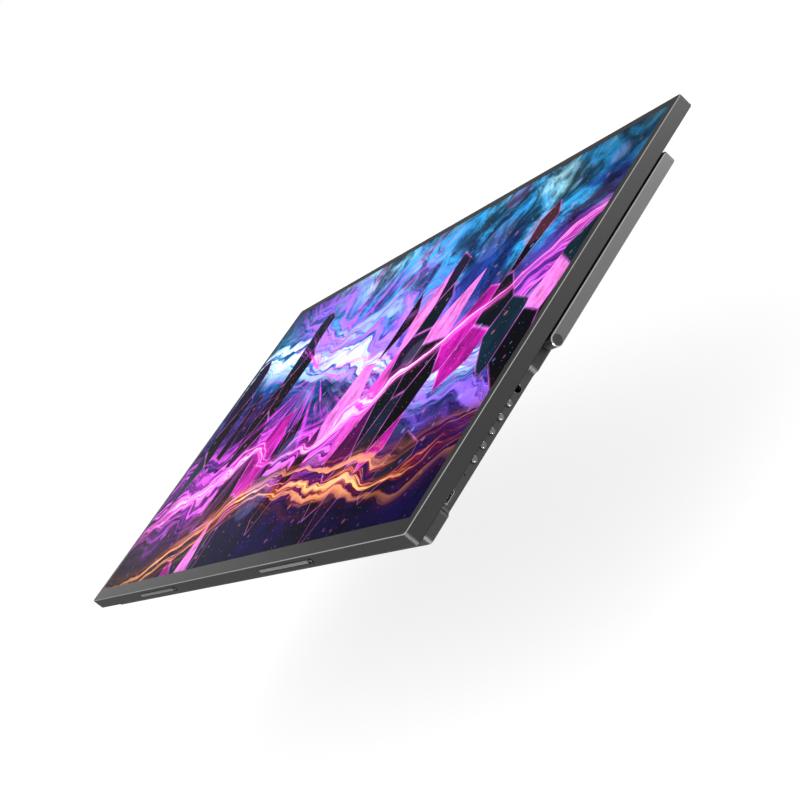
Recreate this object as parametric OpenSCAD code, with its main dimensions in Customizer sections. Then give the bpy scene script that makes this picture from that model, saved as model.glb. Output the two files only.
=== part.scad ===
// Flat portable display with a folding U-shaped kickstand.
// It lies on its back: +X is the viewer's right, +Y the picture's top, +Z out of the screen.
// The origin is under the middle of the folded display, on the surface that it lies on.
// Lengths are in millimetres. Heights in Y are measured up from the slab's bottom edge.

/* [Display slab] */
// Width of the lit picture
screen_w = 409.8; // [380:0.1:440]
// Height of the lit picture
screen_h = 230.4; // [220:0.1:248]
// Bezel at the left and right of the picture
bezel_side = 5.1; // [4.4:0.1:9]
// Bezel above the picture
bezel_top = 5.4; // [4.4:0.1:12]
// Bezel below the picture
bezel_bottom = 8.8; // [6:0.1:16]
// Room for boards between the back cover and the panel tray
board_space = 1.2; // [1.1:0.1:2.5]
// Radius of the slab's corners in plan
slab_corner_r = 2; // [1.5:0.1:6]
// Bright cut along the outer edges
edge_cut = 0.3; // [0.2:0.05:0.6]
// Side walls of the back cover
cover_wall = 2.4; // [1.8:0.1:3]
// Floor of the back cover
cover_floor = 0.8; // [0.6:0.1:1.2]
// Front bezel plate
bezel_t = 1; // [0.8:0.1:1.3]

// Lower row of the pads under the panel, from the slab's bottom edge
pad_low = 20; // [18:0.5:22]
// Upper row of the pads under the panel, from the slab's top edge
pad_high = 14; // [8:0.5:30]

/* [Panel stack] */
// Liquid crystal cell
cell_t = 1.1; // [0.8:0.1:1.4]
// Diffuser and prism films together
films_t = 0.4; // [0.2:0.05:0.6]
// Light guide plate
guide_t = 2; // [1.4:0.1:2.4]
// Reflector sheet
reflector_t = 0.2; // [0.1:0.05:0.3]
// Sheet of the panel tray
tray_t = 0.6; // [0.4:0.1:0.8]
// Height of the LED strip that lights the guide's lower edge
led_h = 1.4; // [1:0.1:1.8]
// Depth of the LED strip in Y
led_depth = 1.5; // [1:0.1:2]

/* [Rear housing] */
// How far the housing stands off the slab's back
housing_t = 7; // [6.8:0.1:9]
// Margin of slab left at each side of the housing
housing_side = 7.5; // [7:0.1:12]
// Margin of slab left under the housing
housing_low = 6.8; // [4:0.1:12]
// Height of the housing up the slab's back
housing_h = 104.4; // [102:0.1:118]
// Housing walls
housing_wall = 1.6; // [1.2:0.1:2]
// Housing back plate
housing_floor = 1; // [0.8:0.1:1.2]
// Plan radius of the two lower corners
housing_low_r = 2.1; // [2:0.1:6]
// Plan radius of the two upper corners, by the pivots
housing_high_r = 1; // [0.6:0.1:1.4]

/* [Controls on the right side] */
// Depth of the shallow bay that shields the buttons
bay_depth = 2.2; // [1:0.1:2.6]
// Lower end of the bay
bay_low = 23.4; // [21.5:0.1:24]
// From the upper end of the bay to the housing's top edge
bay_margin = 19.2; // [16:0.1:24]
// Length of each ramp out of the bay
bay_ramp = 4.5; // [2:0.1:6]
// Height of the lowest button
button_first = 46.75; // [45:0.05:48]
// Spacing of the buttons
button_pitch = 7.26; // [5.6:0.02:7.5]
// Button radius
button_r = 1.5; // [1:0.05:1.55]
// Distance of the button centres from the housing's back
button_z = 2.9; // [2.75:0.05:3.1]
// How far a button stands out of the bay
button_proud = 0.8; // [0.3:0.1:1.2]
// Travel of a button
button_travel = 0.35; // [0.2:0.05:0.5]
// From the highest button up to the headphone socket
jack_step = 7.81; // [6:0.01:9]
// Bore radius of the headphone socket
jack_r = 1.8; // [1.75:0.05:1.9]
// Length of the headphone socket's body
jack_len = 11; // [9:0.5:12]
// From the lowest button down to the status light
led_step = 7.85; // [4:0.05:9]
// Status light radius
led_r = 0.4; // [0.3:0.05:0.6]
// From the lower end of the bay up to the small data socket
data_step = 4.5; // [4:0.1:6]
// Mouth width of the small data socket
data_w = 6.8; // [5:0.1:7.4]
// Mouth height of the small data socket
data_h = 2.4; // [1.8:0.1:2.6]

/* [Sockets on the left side] */
// Height of the wide video socket
video_y = 41.4; // [38:0.1:44]
// Outer width of the video socket's shell
video_w = 10.8; // [9:0.1:12]
// Height of the lower round-ended socket
port_low_y = 60; // [57:0.1:63]
// Height of the upper round-ended socket
port_high_y = 78; // [75:0.1:81]
// Outer width of the round-ended socket shells
port_w = 8.6; // [7:0.1:9.4]
// Outer height of the socket shells
port_h = 2.9; // [2.4:0.05:2.95]
// Distance of the socket centres from the housing's back
port_z = 2.65; // [2.6:0.05:3]
// Depth of the socket shells
port_depth = 7.4; // [6:0.1:9]

/* [Speakers] */
// Distance between the speaker centres
speaker_spacing = 144; // [132:1:150]
// Width of a speaker box
speaker_w = 32; // [24:1:36]
// Depth of a speaker box
speaker_d = 13; // [9:0.5:13]
// From a speaker's middle outwards to its lead
lead_exit = 8; // [4:0.5:12]
// Width of a grille
grille_w = 18; // [12:0.5:22]
// Height of a grille
grille_h = 3; // [2:0.1:3.2]
// Distance of the grille centres from the housing's back
grille_z = 4.3; // [3:0.1:4.8]
// Radius of a grille hole
grille_hole_r = 0.4; // [0.25:0.05:0.45]

/* [Wall mount] */
// Spacing of the four mounting holes
vesa_pitch = 75; // [75:1:80]
// From the upper pair of holes to the housing's top edge
vesa_drop = 9.6; // [9:0.1:16]
// Thread radius of the mounting inserts
vesa_r = 2; // [1.5:0.1:2]
// Outer radius of the inserts
insert_r = 2.65; // [2.3:0.05:3]
// Length of the inserts
insert_len = 4; // [3:0.1:4.4]

/* [Kickstand] */
// Width of each arm across X
arm_w = 7; // [5:0.1:7]
// Depth of the arms and the cross bar
arm_t = 6; // [5:0.1:6]
// Width of the cross bar in Y
bar_w = 5.4; // [4:0.1:10]
// Pivot to the outer edge of the cross bar
stand_reach = 108.5; // [90:0.5:114]
// Plan radius of the stand's outer corners
stand_corner_r = 2; // [1:0.5:4]
// Bright cut along the stand's edges
stand_cut = 0.4; // [0.2:0.05:0.6]
// Metal left round the shaft bores in the hinge brackets
bracket_skin = 0.4; // [0.3:0.05:0.6]
// Length of the hinge bracket along the shaft
bracket_len = 14; // [12:0.5:18]
// Length of the bracket's screwed flange
ear_len = 6; // [5.5:0.1:8]
// Radius of the round cap over each pivot
cap_r = 2.45; // [1.7:0.05:2.5]
// Thickness of the caps
cap_t = 0.7; // [0.4:0.1:1]

/* [Feet] */
// Distance between the centres of the foot strips
foot_spacing = 179; // [120:1:200]
// Sideways shift of the strips and their screws
foot_shift = -3; // [-8:0.5:8]
// Length of a foot strip
foot_len = 54.6; // [30:0.1:60]
// Height of a foot strip
foot_h = 2; // [1.4:0.1:2.4]
// Border of the groove above and below a foot strip
foot_border = 0.4; // [0.2:0.05:0.7]
// How far the strips stand out below the bottom edge
foot_proud = 0.4; // [0.1:0.1:0.8]
// Depth of the grooves for the strips
foot_groove = 0.9; // [0.6:0.1:1.2]
// Radius of the screw heads beside the strips
foot_screw_r = 1.7; // [1.1:0.05:1.9]
// How far the screw heads stand out, less than the strips do
foot_screw_rise = 0.3; // [0.1:0.05:0.3]
// Gap between a strip's end and its screw head
foot_screw_gap = 1.7; // [0.8:0.1:3]

/* [Fasteners] */
// First pair of lower housing screws, from the middle
screw_low_inner = 30; // [20:1:34]
// Second pair of lower housing screws, from the middle
screw_low_outer = 108; // [98:1:130]
// First pair of upper housing screws, from the middle
screw_high_inner = 82; // [60:1:100]
// Second pair of upper housing screws, from the middle
screw_high_outer = 150; // [120:1:165]
// From the housing's edges to its screws
screw_margin = 7.2; // [6:0.1:9]
// Radius of the screw shanks
screw_r = 0.8; // [0.6:0.05:1]
// Radius of the screw heads
screw_head_r = 1.6; // [1.2:0.05:1.8]
// Radius of the screw bosses
boss_r = 2.4; // [2:0.1:2.8]

/* [Boards] */
// Thickness of the circuit boards
board_t = 1; // [0.8:0.1:1.2]
// Length of the main board along X
main_len = 86; // [60:1:90]
// Width of the control board along X
control_len = 20; // [16:1:26]
// Lower edge of the main board
main_low = 26; // [25.5:0.5:30]
// Side of the main chip
chip_side = 14; // [10:0.5:18]
// Place of the main chip along the board
chip_x = 51; // [36:1:60]
// Place of the small components along the board
parts_x = 20; // [16:1:24]
// Spacing of the small components
parts_pitch = 7; // [5:0.5:8]
// From the board's edges to the small components
parts_margin = 12; // [8:0.5:16]
// Length of the timing board
timing_w = 116; // [90:1:120]
// Depth of the timing board
timing_d = 12; // [9:0.5:13]
// Height of the panel cable's middle
flex_y = 32; // [31:0.5:36]
// From the timing board's left end to the panel cable's riser
riser_step = 6; // [4:0.5:7]
// Height of the control cable's middle
control_cable_y = 63; // [56:1:70]
// Where the backlight cable runs
backlight_x = 70; // [64:1:90]
// Thickness of the flat cables
flex_t = 0.2; // [0.1:0.05:0.3]
// Width of the flat cables
flex_w = 8; // [5:0.5:9]
// Side of the two-core speaker leads
lead_t = 1; // [0.6:0.1:1.2]

/* [Clearances] */
// Play round a piece that is dropped into its seat
seat_gap = 0.15; // [0.05:0.05:0.3]
// Radial running clearance of the hinge shafts
run_gap = 0.05; // [0.02:0.01:0.1]
// Side gap between the kickstand and the housing
arm_gap = 0.5; // [0.3:0.05:1]
// Radial play of the buttons in their holes
button_gap = 0.1; // [0.05:0.05:0.2]

/* [Hidden] */
$fn = 64;
eps = 0.01;

// Slab outline and levels
button_count = 5;
slab_w = screen_w + 2 * bezel_side;
slab_h = screen_h + bezel_top + bezel_bottom;
y_bottom = -(slab_h - foot_proud) / 2;
foot_reach = foot_screw_gap + foot_screw_r;
foot_seat = foot_groove + 0.1;
slab_t = cover_floor + board_space + tray_t + reflector_t + guide_t + films_t + cell_t + bezel_t;
back_z = housing_t;
front_z = housing_t + slab_t;
bezel_z = front_z - bezel_t;
cell_z = bezel_z - cell_t;
films_z = cell_z - films_t;
guide_z = films_z - guide_t;
reflector_z = guide_z - reflector_t;
tray_z = reflector_z - tray_t;
cavity_z = back_z + cover_floor;
cavity_w = slab_w - 2 * cover_wall;
cavity_h = slab_h - 2 * cover_wall;
cavity_r = 1;
tray_rim = 0.5;
tray_w = cavity_w - 2 * seat_gap;
tray_h = cavity_h - 2 * seat_gap;
optics_w = tray_w - 2 * tray_rim - 2 * seat_gap;
optics_h = tray_h - 2 * tray_rim - 2 * seat_gap;
guide_h = optics_h - led_depth - seat_gap;

// Housing walls and levels
wall_x = slab_w / 2 - housing_side;
housing_w = 2 * wall_x;
housing_top = housing_low + housing_h;
inner_x = wall_x - housing_wall;
bay_x = wall_x - bay_depth;
bay_inner_x = bay_x - housing_wall;
ramp_r = (bay_ramp * bay_ramp + bay_depth * bay_depth) / (4 * bay_depth);
bay_high = housing_top - bay_margin;
button_last = button_first + button_pitch * (button_count - 1);
jack_y = button_last + jack_step;
led_y = button_first - led_step;
data_y = bay_low + data_step;
vesa_low = housing_top - vesa_drop - vesa_pitch;

// Pivot
arm_r = arm_t / 2;
pivot_z = arm_r;
bracket_seat = 0.05;
bracket_end_gap = 0.2;
shaft_r = arm_r - housing_floor - bracket_seat - bracket_skin - run_gap;
pivot_y = housing_top - housing_wall - bracket_end_gap - bracket_skin - shaft_r - run_gap;
arm_inner_x = wall_x + arm_gap;
arm_outer_x = arm_inner_x + arm_w;
stand_top = pivot_y + stand_reach;
shaft_hole_r = shaft_r + run_gap;
wall_hole_r = shaft_r + 0.3;
bracket_x = inner_x - 0.3;
bracket_h = pivot_z + shaft_r + 1.2;
nut_t = 1.6;
nut_r = pivot_z - housing_floor - 0.1;
spigot_r = shaft_r - 0.5;
shoulder_x = bracket_x - bracket_len - seat_gap;
shaft_inner_x = shoulder_x - nut_t - 0.4;
shaft_outer_x = arm_outer_x - cap_t - 0.15;
ear_t = 1;
ear_z = bracket_h - ear_t;
bracket_low = pivot_y - shaft_r - 1.6;
ear_low = bracket_low - ear_len;

// Boards
port_top = port_z + port_h / 2;
main_z = port_top;
main_high = ear_low - 6.3;
main_d = main_high - main_low;
main_x = -inner_x + 0.4;
control_z = housing_t - 2;
control_low = bay_low - 1.9;
jack_side = 5.2;
control_high = jack_y + jack_side / 2 + 0.8;
control_x = bay_inner_x - 0.4;
screw_head_t = 0.7;
insert_seat = 1;
jack_h = 2 * jack_r + 0.5;
jack_z = housing_floor + 0.05 + jack_h / 2;
data_z = housing_floor + data_h / 2 + 1.2;
main_posts = [for (x = [10, main_len - 6], y = [20, main_d - 6]) [x, y]];
control_posts = [for (k = [0, 0.5, 1]) [boss_r + 1.6, 4 + k * (control_high - control_low - 9.5)]];

// Flat cable from the main board to the timing board
connector_t = 0.85;
timing_t = 0.6;
timing_z = tray_z - timing_t;
riser_x = -timing_w / 2 + riser_step;
slot_w = 6;

// Screws that hold the housing to the back cover, as distances from the middle
housing_screw_points = [
    for (s = [-1, 1]) each [[s * screw_low_inner, housing_low + screw_margin],
                            [s * screw_low_outer, housing_low + screw_margin],
                            [s * screw_high_inner, housing_top - screw_margin],
                            [s * screw_high_outer, housing_top - screw_margin]]];
cover_pads = [for (i = [-3:3], y = [pad_low, slab_h / 2, slab_h - pad_high]) [i * slab_w / 7.2, y]];

function Y(v) = y_bottom + v;
function button_y(i) = button_first + button_pitch * i;
function vesa_points() = [for (sx = [-1, 1], k = [0, 1]) [sx * vesa_pitch / 2, vesa_low + k * vesa_pitch]];

// Half outline of a plate seen end on, with its outer edges cut at 45 degrees
function edge_points(half, t, low, high) = concat(
    low > 0 ? [[-half + low, 0], [half - low, 0], [half, low]] : [[-half, 0], [half, 0]],
    high > 0 ? [[half, t - high], [half - high, t], [-half + high, t], [-half, t - high]]
             : [[half, t], [-half, t]],
    low > 0 ? [[-half, low]] : []);
function corner_points(r, t, low, high) = concat(
    low > 0 ? [[0, 0], [r - low, 0], [r, low]] : [[0, 0], [r, 0]],
    high > 0 ? [[r, t - high], [r - high, t], [0, t]] : [[r, t], [0, t]]);

// Plate on z = 0 with round corners in plan and cut edges, centred in X and Y
module edge_plate(w, h, t, r, low, high) {
    rotate([90, 0, 90])
        translate([0, 0, -w / 2 + r])
            linear_extrude(w - 2 * r)
                polygon(edge_points(h / 2, t, low, high));
    rotate([90, 0, 0])
        translate([0, 0, -h / 2 + r])
            linear_extrude(h - 2 * r)
                polygon(edge_points(w / 2, t, low, high));
    for (sx = [-1, 1], sy = [-1, 1])
        translate([sx * (w / 2 - r), sy * (h / 2 - r), 0])
            rotate_extrude()
                polygon(corner_points(r, t, low, high));
}

// Box from one corner to the other
module block(a, b) {
    translate(a)
        cube([b[0] - a[0], b[1] - a[1], b[2] - a[2]]);
}

// Flat rounded rectangle, centred
module round_rect(w, h, r) {
    square([w - 2 * r, h], center = true);
    square([w, h - 2 * r], center = true);
    for (sx = [-1, 1], sy = [-1, 1])
        translate([sx * (w / 2 - r), sy * (h / 2 - r)])
            circle(r);
}

// Bar along X from x0, with a rounded rectangle of width w in Y and height h in Z
module slot_bar(x0, len, y, z, w, h, r) {
    translate([x0, Y(y), z])
        rotate([90, 0, 90])
            linear_extrude(len)
                round_rect(w, h, r);
}

// Rod along X from x0
module rod(x0, len, y, z, r) {
    translate([x0, Y(y), z])
        rotate([0, 90, 0])
            cylinder(r = r, h = len);
}

// Upright boss with a blind screw hole from its top
module boss(x, y, z0, z1, r, hole_r, hole_depth) {
    translate([x, Y(y), z0])
        difference() {
            cylinder(r = r, h = z1 - z0);
            translate([0, 0, z1 - z0 - hole_depth])
                cylinder(r = hole_r, h = hole_depth + 1);
        }
}

// Screw with its head up, seated at height z
module screw(x, y, z, r, len, head_r, head_t) {
    translate([x, Y(y), z]) {
        translate([0, 0, -len])
            cylinder(r = r, h = len + eps);
        difference() {
            cylinder(r = head_r, h = head_t);
            for (a = [0, 90])
                rotate([0, 0, a])
                    translate([0, 0, head_t])
                        cube([head_r, 0.3, head_t], center = true);
        }
    }
}

/* ---- display slab ---- */

module slab_place(z) {
    translate([0, Y(slab_h / 2), z])
        children();
}

module front_bezel() {
    color("#4a4b4c")
        difference() {
            slab_place(bezel_z)
                edge_plate(slab_w, slab_h, bezel_t, slab_corner_r, 0, edge_cut);
            translate([-screen_w / 2 - seat_gap, Y(bezel_bottom - seat_gap), bezel_z - 1])
                cube([screen_w + 2 * seat_gap, screen_h + 2 * seat_gap, bezel_t + 2]);
        }
}

module cover_glass() {
    color("#2a2f55")
        block([-screen_w / 2, Y(bezel_bottom), bezel_z],
              [screen_w / 2, Y(bezel_bottom + screen_h), front_z - 0.05]);
}

module lcd_cell() {
    color("#222230")
        slab_place(cell_z)
            linear_extrude(cell_t)
                round_rect(tray_w, tray_h, cavity_r);
}

module optical_films() {
    color("#e8ecef")
        slab_place(films_z)
            linear_extrude(films_t)
                square([optics_w, optics_h], center = true);
}

// The guide leaves room for the LED strip along its lower edge
module light_guide() {
    color("#dfe9ef")
        translate([-optics_w / 2, Y(slab_h / 2 + optics_h / 2 - guide_h), guide_z])
            cube([optics_w, guide_h, guide_t]);
}

module led_strip() {
    color("#e9e2b0")
        translate([0, Y(slab_h / 2 - optics_h / 2), guide_z]) {
            translate([-optics_w / 2, 0, 0])
                cube([optics_w, 0.4, led_h]);
            for (i = [-24:24])
                translate([i * optics_w / 52 - 1.5, 0.4, 0.1])
                    cube([3, led_depth - 0.4, led_h - 0.2]);
        }
}

module reflector_sheet() {
    color("#f4f4f2")
        slab_place(reflector_z)
            linear_extrude(reflector_t)
                square([optics_w, optics_h], center = true);
}

module panel_tray() {
    color("#8d9297")
        difference() {
            slab_place(tray_z)
                linear_extrude(cell_z - tray_z)
                    round_rect(tray_w, tray_h, cavity_r);
            slab_place(reflector_z)
                linear_extrude(cell_z)
                    square([tray_w - 2 * tray_rim, tray_h - 2 * tray_rim], center = true);
            block([backlight_x - 4, Y(0), tray_z - 1],
                  [backlight_x + flex_w, Y(cover_wall + 4), reflector_z + 1]);
        }
}

module timing_board() {
    color("#1f5a3a")
        translate([-timing_w / 2, Y(flex_y - timing_d / 2), timing_z]) {
            cube([timing_w, timing_d, timing_t]);
            for (i = [0:4])
                translate([20 + i * 18, 3, -0.4])
                    cube([7, 5, 0.4 + eps]);
            translate([riser_step + 2, 1, -0.45])
                cube([6, timing_d - 2, 0.45 + eps]);
        }
}

module foot_place(side) {
    translate([side * foot_spacing / 2 + foot_shift, Y(0), back_z + slab_t / 2])
        children();
}

module foot_screw_place(side) {
    foot_place(side)
        translate([foot_len / 2 + foot_reach, 0, 0])
            rotate([-90, 0, 0])
                children();
}

module back_cover() {
    color("#3c3d3e")
        difference() {
            union() {
                difference() {
                    slab_place(back_z)
                        edge_plate(slab_w, slab_h, slab_t - bezel_t, slab_corner_r, edge_cut, 0);
                    slab_place(cavity_z)
                        linear_extrude(slab_t)
                            round_rect(cavity_w, cavity_h, cavity_r);
                }
                // pads that the panel tray sits on
                for (p = cover_pads)
                    translate([p[0], Y(p[1]), back_z + cover_floor / 2])
                        cylinder(r = 3, h = tray_z - back_z - cover_floor / 2);
            }
            for (p = housing_screw_points)
                translate([p[0], Y(p[1]), back_z - 1])
                    cylinder(r = screw_r + seat_gap, h = cover_floor + 2);
            // pass for the flat cable
            block([riser_x - slot_w / 2, Y(flex_y - flex_w / 2 - 1), back_z - 1],
                  [riser_x + slot_w / 2, Y(flex_y + flex_w / 2 + 1), cavity_z + 1]);
            // grooves for the foot strips and seats for their screws
            for (s = [-1, 1]) {
                foot_place(s)
                    rotate([-90, 0, 0])
                        translate([foot_reach / 2, 0, -1])
                            linear_extrude(foot_groove + 1)
                                round_rect(foot_len + foot_reach + 2 * seat_gap,
                                           foot_h + 2 * foot_border, foot_h / 2);
                foot_screw_place(s) {
                    translate([0, 0, -1])
                        cylinder(r = foot_screw_r + foot_border / 2, h = foot_seat + 1);
                    cylinder(r = 0.7, h = cover_wall + 1);
                }
            }
        }
}

// Thin black sheet on the slab's back, inside the folded kickstand
module rear_inlay() {
    color("#0d0d0e")
        translate([0, 0, back_z - 0.3])
            linear_extrude(0.3)
                polygon([[-arm_inner_x - 3, Y(housing_top + 0.2)], [arm_inner_x + 3, Y(housing_top + 0.2)],
                         [arm_inner_x + 3, Y(stand_top - bar_w / 2)],
                         [-arm_inner_x - 3, Y(stand_top - bar_w / 2)]]);
}

module foot_strip(side) {
    color("#6d6e6f")
        foot_place(side)
            rotate([-90, 0, 0])
                translate([0, 0, -foot_proud])
                    linear_extrude(foot_groove + foot_proud)
                        round_rect(foot_len, foot_h, foot_h / 2 - seat_gap);
}

module foot_screws() {
    color("#1c1c1d")
        for (s = [-1, 1])
            foot_screw_place(s)
                difference() {
                    union() {
                        translate([0, 0, -foot_screw_rise])
                            cylinder(r1 = foot_screw_r - foot_screw_rise, r2 = foot_screw_r,
                                     h = foot_screw_rise);
                        cylinder(r = foot_screw_r, h = foot_seat);
                        cylinder(r = 0.65, h = cover_wall - 0.2);
                    }
                    // cross slots for the driver
                    for (a = [0, 90])
                        rotate([0, 0, a])
                            cube([1.5, 0.35, 1], center = true);
                }
}

/* ---- rear housing ---- */

// Shallow bay whose ramps are two tangent arcs each, pushed in from the housing's side by extra
module bay_cut(extra) {
    start = bay_low - bay_ramp;
    end = bay_high + bay_ramp;
    translate([-extra, 0, -1]) {
        difference() {
            linear_extrude(housing_t + 2)
                polygon([[wall_x + 5, Y(start)], [wall_x, Y(start)], [bay_x, Y(bay_low)],
                         [bay_x, Y(bay_high)], [wall_x, Y(end)], [wall_x + 5, Y(end)]]);
            for (y = [start, end])
                translate([wall_x - ramp_r, Y(y), -1])
                    cylinder(r = ramp_r, h = housing_t + 4);
        }
        for (y = [bay_low, bay_high])
            translate([bay_x + ramp_r, Y(y), 0])
                cylinder(r = ramp_r, h = housing_t + 2);
    }
}

module housing_body() {
    high_part = 4 * housing_low_r;
    translate([0, Y(housing_low + housing_h / 2), 0])
        edge_plate(housing_w, housing_h, housing_t, housing_low_r, edge_cut, 0);
    translate([0, Y(housing_top - high_part / 2), 0])
        edge_plate(housing_w, high_part, housing_t, housing_high_r, min(edge_cut, housing_high_r - 0.1), 0);
}

module housing_cavity() {
    difference() {
        union() {
            translate([0, Y(housing_low + housing_h / 2), housing_floor])
                linear_extrude(housing_t)
                    round_rect(2 * inner_x, housing_h - 2 * housing_wall, housing_low_r - housing_wall);
            block([-inner_x, Y(housing_top - 4 * housing_low_r), housing_floor],
                  [inner_x, Y(housing_top - housing_wall), housing_floor + housing_t]);
        }
        bay_cut(housing_wall);
    }
}

module grille_place(side) {
    translate([side * speaker_spacing / 2, Y(housing_low), grille_z])
        rotate([-90, 0, 0])
            children();
}

module housing_cuts() {
    bay_cut(0);
    // left side sockets
    for (p = [[video_y, video_w], [port_low_y, port_w], [port_high_y, port_w]])
        slot_bar(-wall_x - 1, housing_wall + 2, p[0], port_z, p[1] + 2 * seat_gap,
                 port_h + 2 * seat_gap, 1);
    // right side controls
    for (i = [0:button_count - 1])
        rod(bay_inner_x - 1, bay_depth + housing_wall + 2, button_y(i), button_z, button_r + button_gap);
    rod(bay_inner_x - 1, bay_depth + housing_wall + 2, jack_y, jack_z, jack_r + 0.05);
    rod(bay_inner_x - 1, bay_depth + housing_wall + 2, led_y, button_z, led_r + seat_gap);
    slot_bar(bay_inner_x - 1, bay_depth + housing_wall + 2, data_y, data_z, data_w + 2 * seat_gap,
             data_h + 2 * seat_gap, 0.7);
    // pivots
    for (s = [-1, 1])
        rod(s * (wall_x - housing_wall / 2) - housing_wall, 2 * housing_wall, pivot_y, pivot_z, wall_hole_r);
    // speaker grilles
    for (s = [-1, 1])
        grille_place(s)
            translate([0, 0, -1])
                linear_extrude(housing_wall + 2)
                    round_rect(grille_w + 2 * seat_gap, grille_h + 2 * seat_gap, 0.8);
    // mounting holes
    for (p = vesa_points())
        translate([p[0], Y(p[1]), -1])
            cylinder(r = insert_r + 0.05, h = insert_seat + insert_len + 1.2);
}

module rear_housing() {
    color("#2b2c2d")
        difference() {
            union() {
                difference() {
                    housing_body();
                    housing_cavity();
                }
                for (p = vesa_points())
                    translate([p[0], Y(p[1]), housing_floor / 2])
                        cylinder(r = insert_r + 1.8, h = housing_t - 0.4 - housing_floor / 2);
                for (p = housing_screw_points)
                    boss(p[0], p[1], housing_floor / 2, housing_t, boss_r, screw_r, 3.6);
                for (p = main_posts)
                    boss(main_x + p[0], main_low + p[1], housing_floor / 2, main_z, boss_r, screw_r, 2.4);
                for (p = control_posts)
                    boss(control_x - control_len + p[0], control_low + p[1], housing_floor / 2, control_z,
                         boss_r, screw_r, 2.6);
                for (s = [-1, 1], k = [0, 1])
                    boss(s * ear_x(k), ear_y(), housing_floor / 2, ear_z, boss_r, screw_r, 2.4);
                // speaker pockets
                for (s = [-1, 1])
                    speaker_pocket(s);
            }
            housing_cuts();
        }
}

module speaker_pocket(s) {
    x = s * speaker_spacing / 2;
    y0 = housing_low + housing_wall - eps;
    for (e = [-1, 1])
        block([x + e * (speaker_w / 2 + seat_gap + 0.5) - 0.5, Y(y0), housing_floor / 2],
              [x + e * (speaker_w / 2 + seat_gap + 0.5) + 0.5, Y(y0 + speaker_d), housing_floor + 3]);
}

module vesa_inserts() {
    color("#77797c")
        for (p = vesa_points())
            translate([p[0], Y(p[1]), insert_seat])
                difference() {
                    cylinder(r = insert_r, h = insert_len);
                    translate([0, 0, -1])
                        cylinder(r = vesa_r, h = insert_len + 2);
                }
}

module housing_screws() {
    color("#9a9da1")
        for (p = housing_screw_points)
            screw(p[0], p[1], cavity_z, screw_r - 0.05, 3.8, screw_head_r, 0.8);
}

/* ---- boards and sockets ---- */

module main_board() {
    color("#1f5a3a")
        difference() {
            block([main_x, Y(main_low), main_z], [main_x + main_len, Y(main_high), main_z + board_t]);
            for (p = main_posts)
                translate([main_x + p[0], Y(main_low + p[1]), main_z - 1])
                    cylinder(r = screw_r + seat_gap, h = board_t + 2);
        }
}

module scaler_chip() {
    color("#161617")
        translate([main_x + chip_x, Y(main_low + main_d / 2), main_z - 1.2])
            linear_extrude(1.2)
                square(chip_side, center = true);
}

module board_components() {
    color("#2e2f31") {
        // display cable connector on the screen side
        block([main_x + main_len - 16, Y(flex_y - flex_w / 2), main_z + board_t],
              [main_x + main_len - 12, Y(flex_y + flex_w / 2), main_z + board_t + connector_t]);
        // control cable connector
        block([main_x + main_len - 6, Y(control_cable_y - flex_w / 2), main_z - 1.4],
              [main_x + main_len - 1, Y(control_cable_y + flex_w / 2), main_z]);
        // inductors, capacitors and a memory chip
        for (i = [0:3])
            translate([main_x + parts_x + i * parts_pitch, Y(main_high - parts_margin), main_z - 1.5])
                cylinder(r = 2.2, h = 1.5);
        for (i = [0:3])
            translate([main_x + parts_x + i * parts_pitch, Y(main_low + parts_margin), main_z - 1])
                linear_extrude(1)
                    square(3, center = true);
        translate([main_x + chip_x + chip_side, Y(main_low + main_d / 2), main_z - 0.9])
            linear_extrude(0.9)
                square([chip_side / 2, chip_side / 1.4], center = true);
    }
}

module board_screws() {
    color("#9a9da1") {
        for (p = main_posts)
            screw(main_x + p[0], main_low + p[1], main_z + board_t, screw_r - 0.05, 3,
                  screw_head_r, screw_head_t);
        for (p = control_posts)
            screw(control_x - control_len + p[0], control_low + p[1], control_z + board_t, screw_r - 0.05,
                  3, screw_head_r, screw_head_t);
    }
}

// Socket with a metal shell, a back and a middle tongue, mouth towards -X
module side_socket(y, w, tongue_w, r) {
    shell_t = 0.3;
    difference() {
        slot_bar(-wall_x + 0.5, port_depth, y, port_z, w, port_h, r);
        slot_bar(-wall_x - 0.5, port_depth, y, port_z, w - 2 * shell_t, port_h - 2 * shell_t, r - shell_t);
    }
    block([-wall_x + 1.4, Y(y - tongue_w / 2), port_z - 0.35],
          [-wall_x + port_depth + 0.2, Y(y + tongue_w / 2), port_z + 0.35]);
}

module video_port() {
    color("#b9bcc0")
        side_socket(video_y, video_w, video_w - 3, 0.6);
}

module usb_port_low() {
    color("#b9bcc0")
        side_socket(port_low_y, port_w, port_w - 2.2, 1.2);
}

module usb_port_high() {
    color("#b9bcc0")
        side_socket(port_high_y, port_w, port_w - 2.2, 1.2);
}

module control_board() {
    color("#1f5a3a")
        difference() {
            block([control_x - control_len, Y(control_low), control_z],
                  [control_x, Y(control_high), control_z + board_t]);
            for (p = control_posts)
                translate([control_x - control_len + p[0], Y(control_low + p[1]), control_z - 1])
                    cylinder(r = screw_r + seat_gap, h = board_t + 2);
            // notch that the headphone socket sits in
            block([bay_inner_x - jack_len - seat_gap, Y(jack_y - jack_side / 2 - seat_gap), control_z - 1],
                  [control_x + 1, Y(jack_y + jack_side / 2 + seat_gap), control_z + board_t + 1]);
        }
}

// Where each switch's plunger waits, a little past the button's travel
switch_tip_x = bay_inner_x - 1.4 - button_travel;
switch_body = 3;

module tact_switches() {
    color("#202124")
        for (i = [0:button_count - 1]) {
            block([switch_tip_x - 0.4 - switch_body, Y(button_y(i) - 2), button_z - 1.4],
                  [switch_tip_x - 0.4, Y(button_y(i) + 2), control_z]);
            rod(switch_tip_x - 0.5, 0.5, button_y(i), button_z, 0.8);
        }
}

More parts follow.
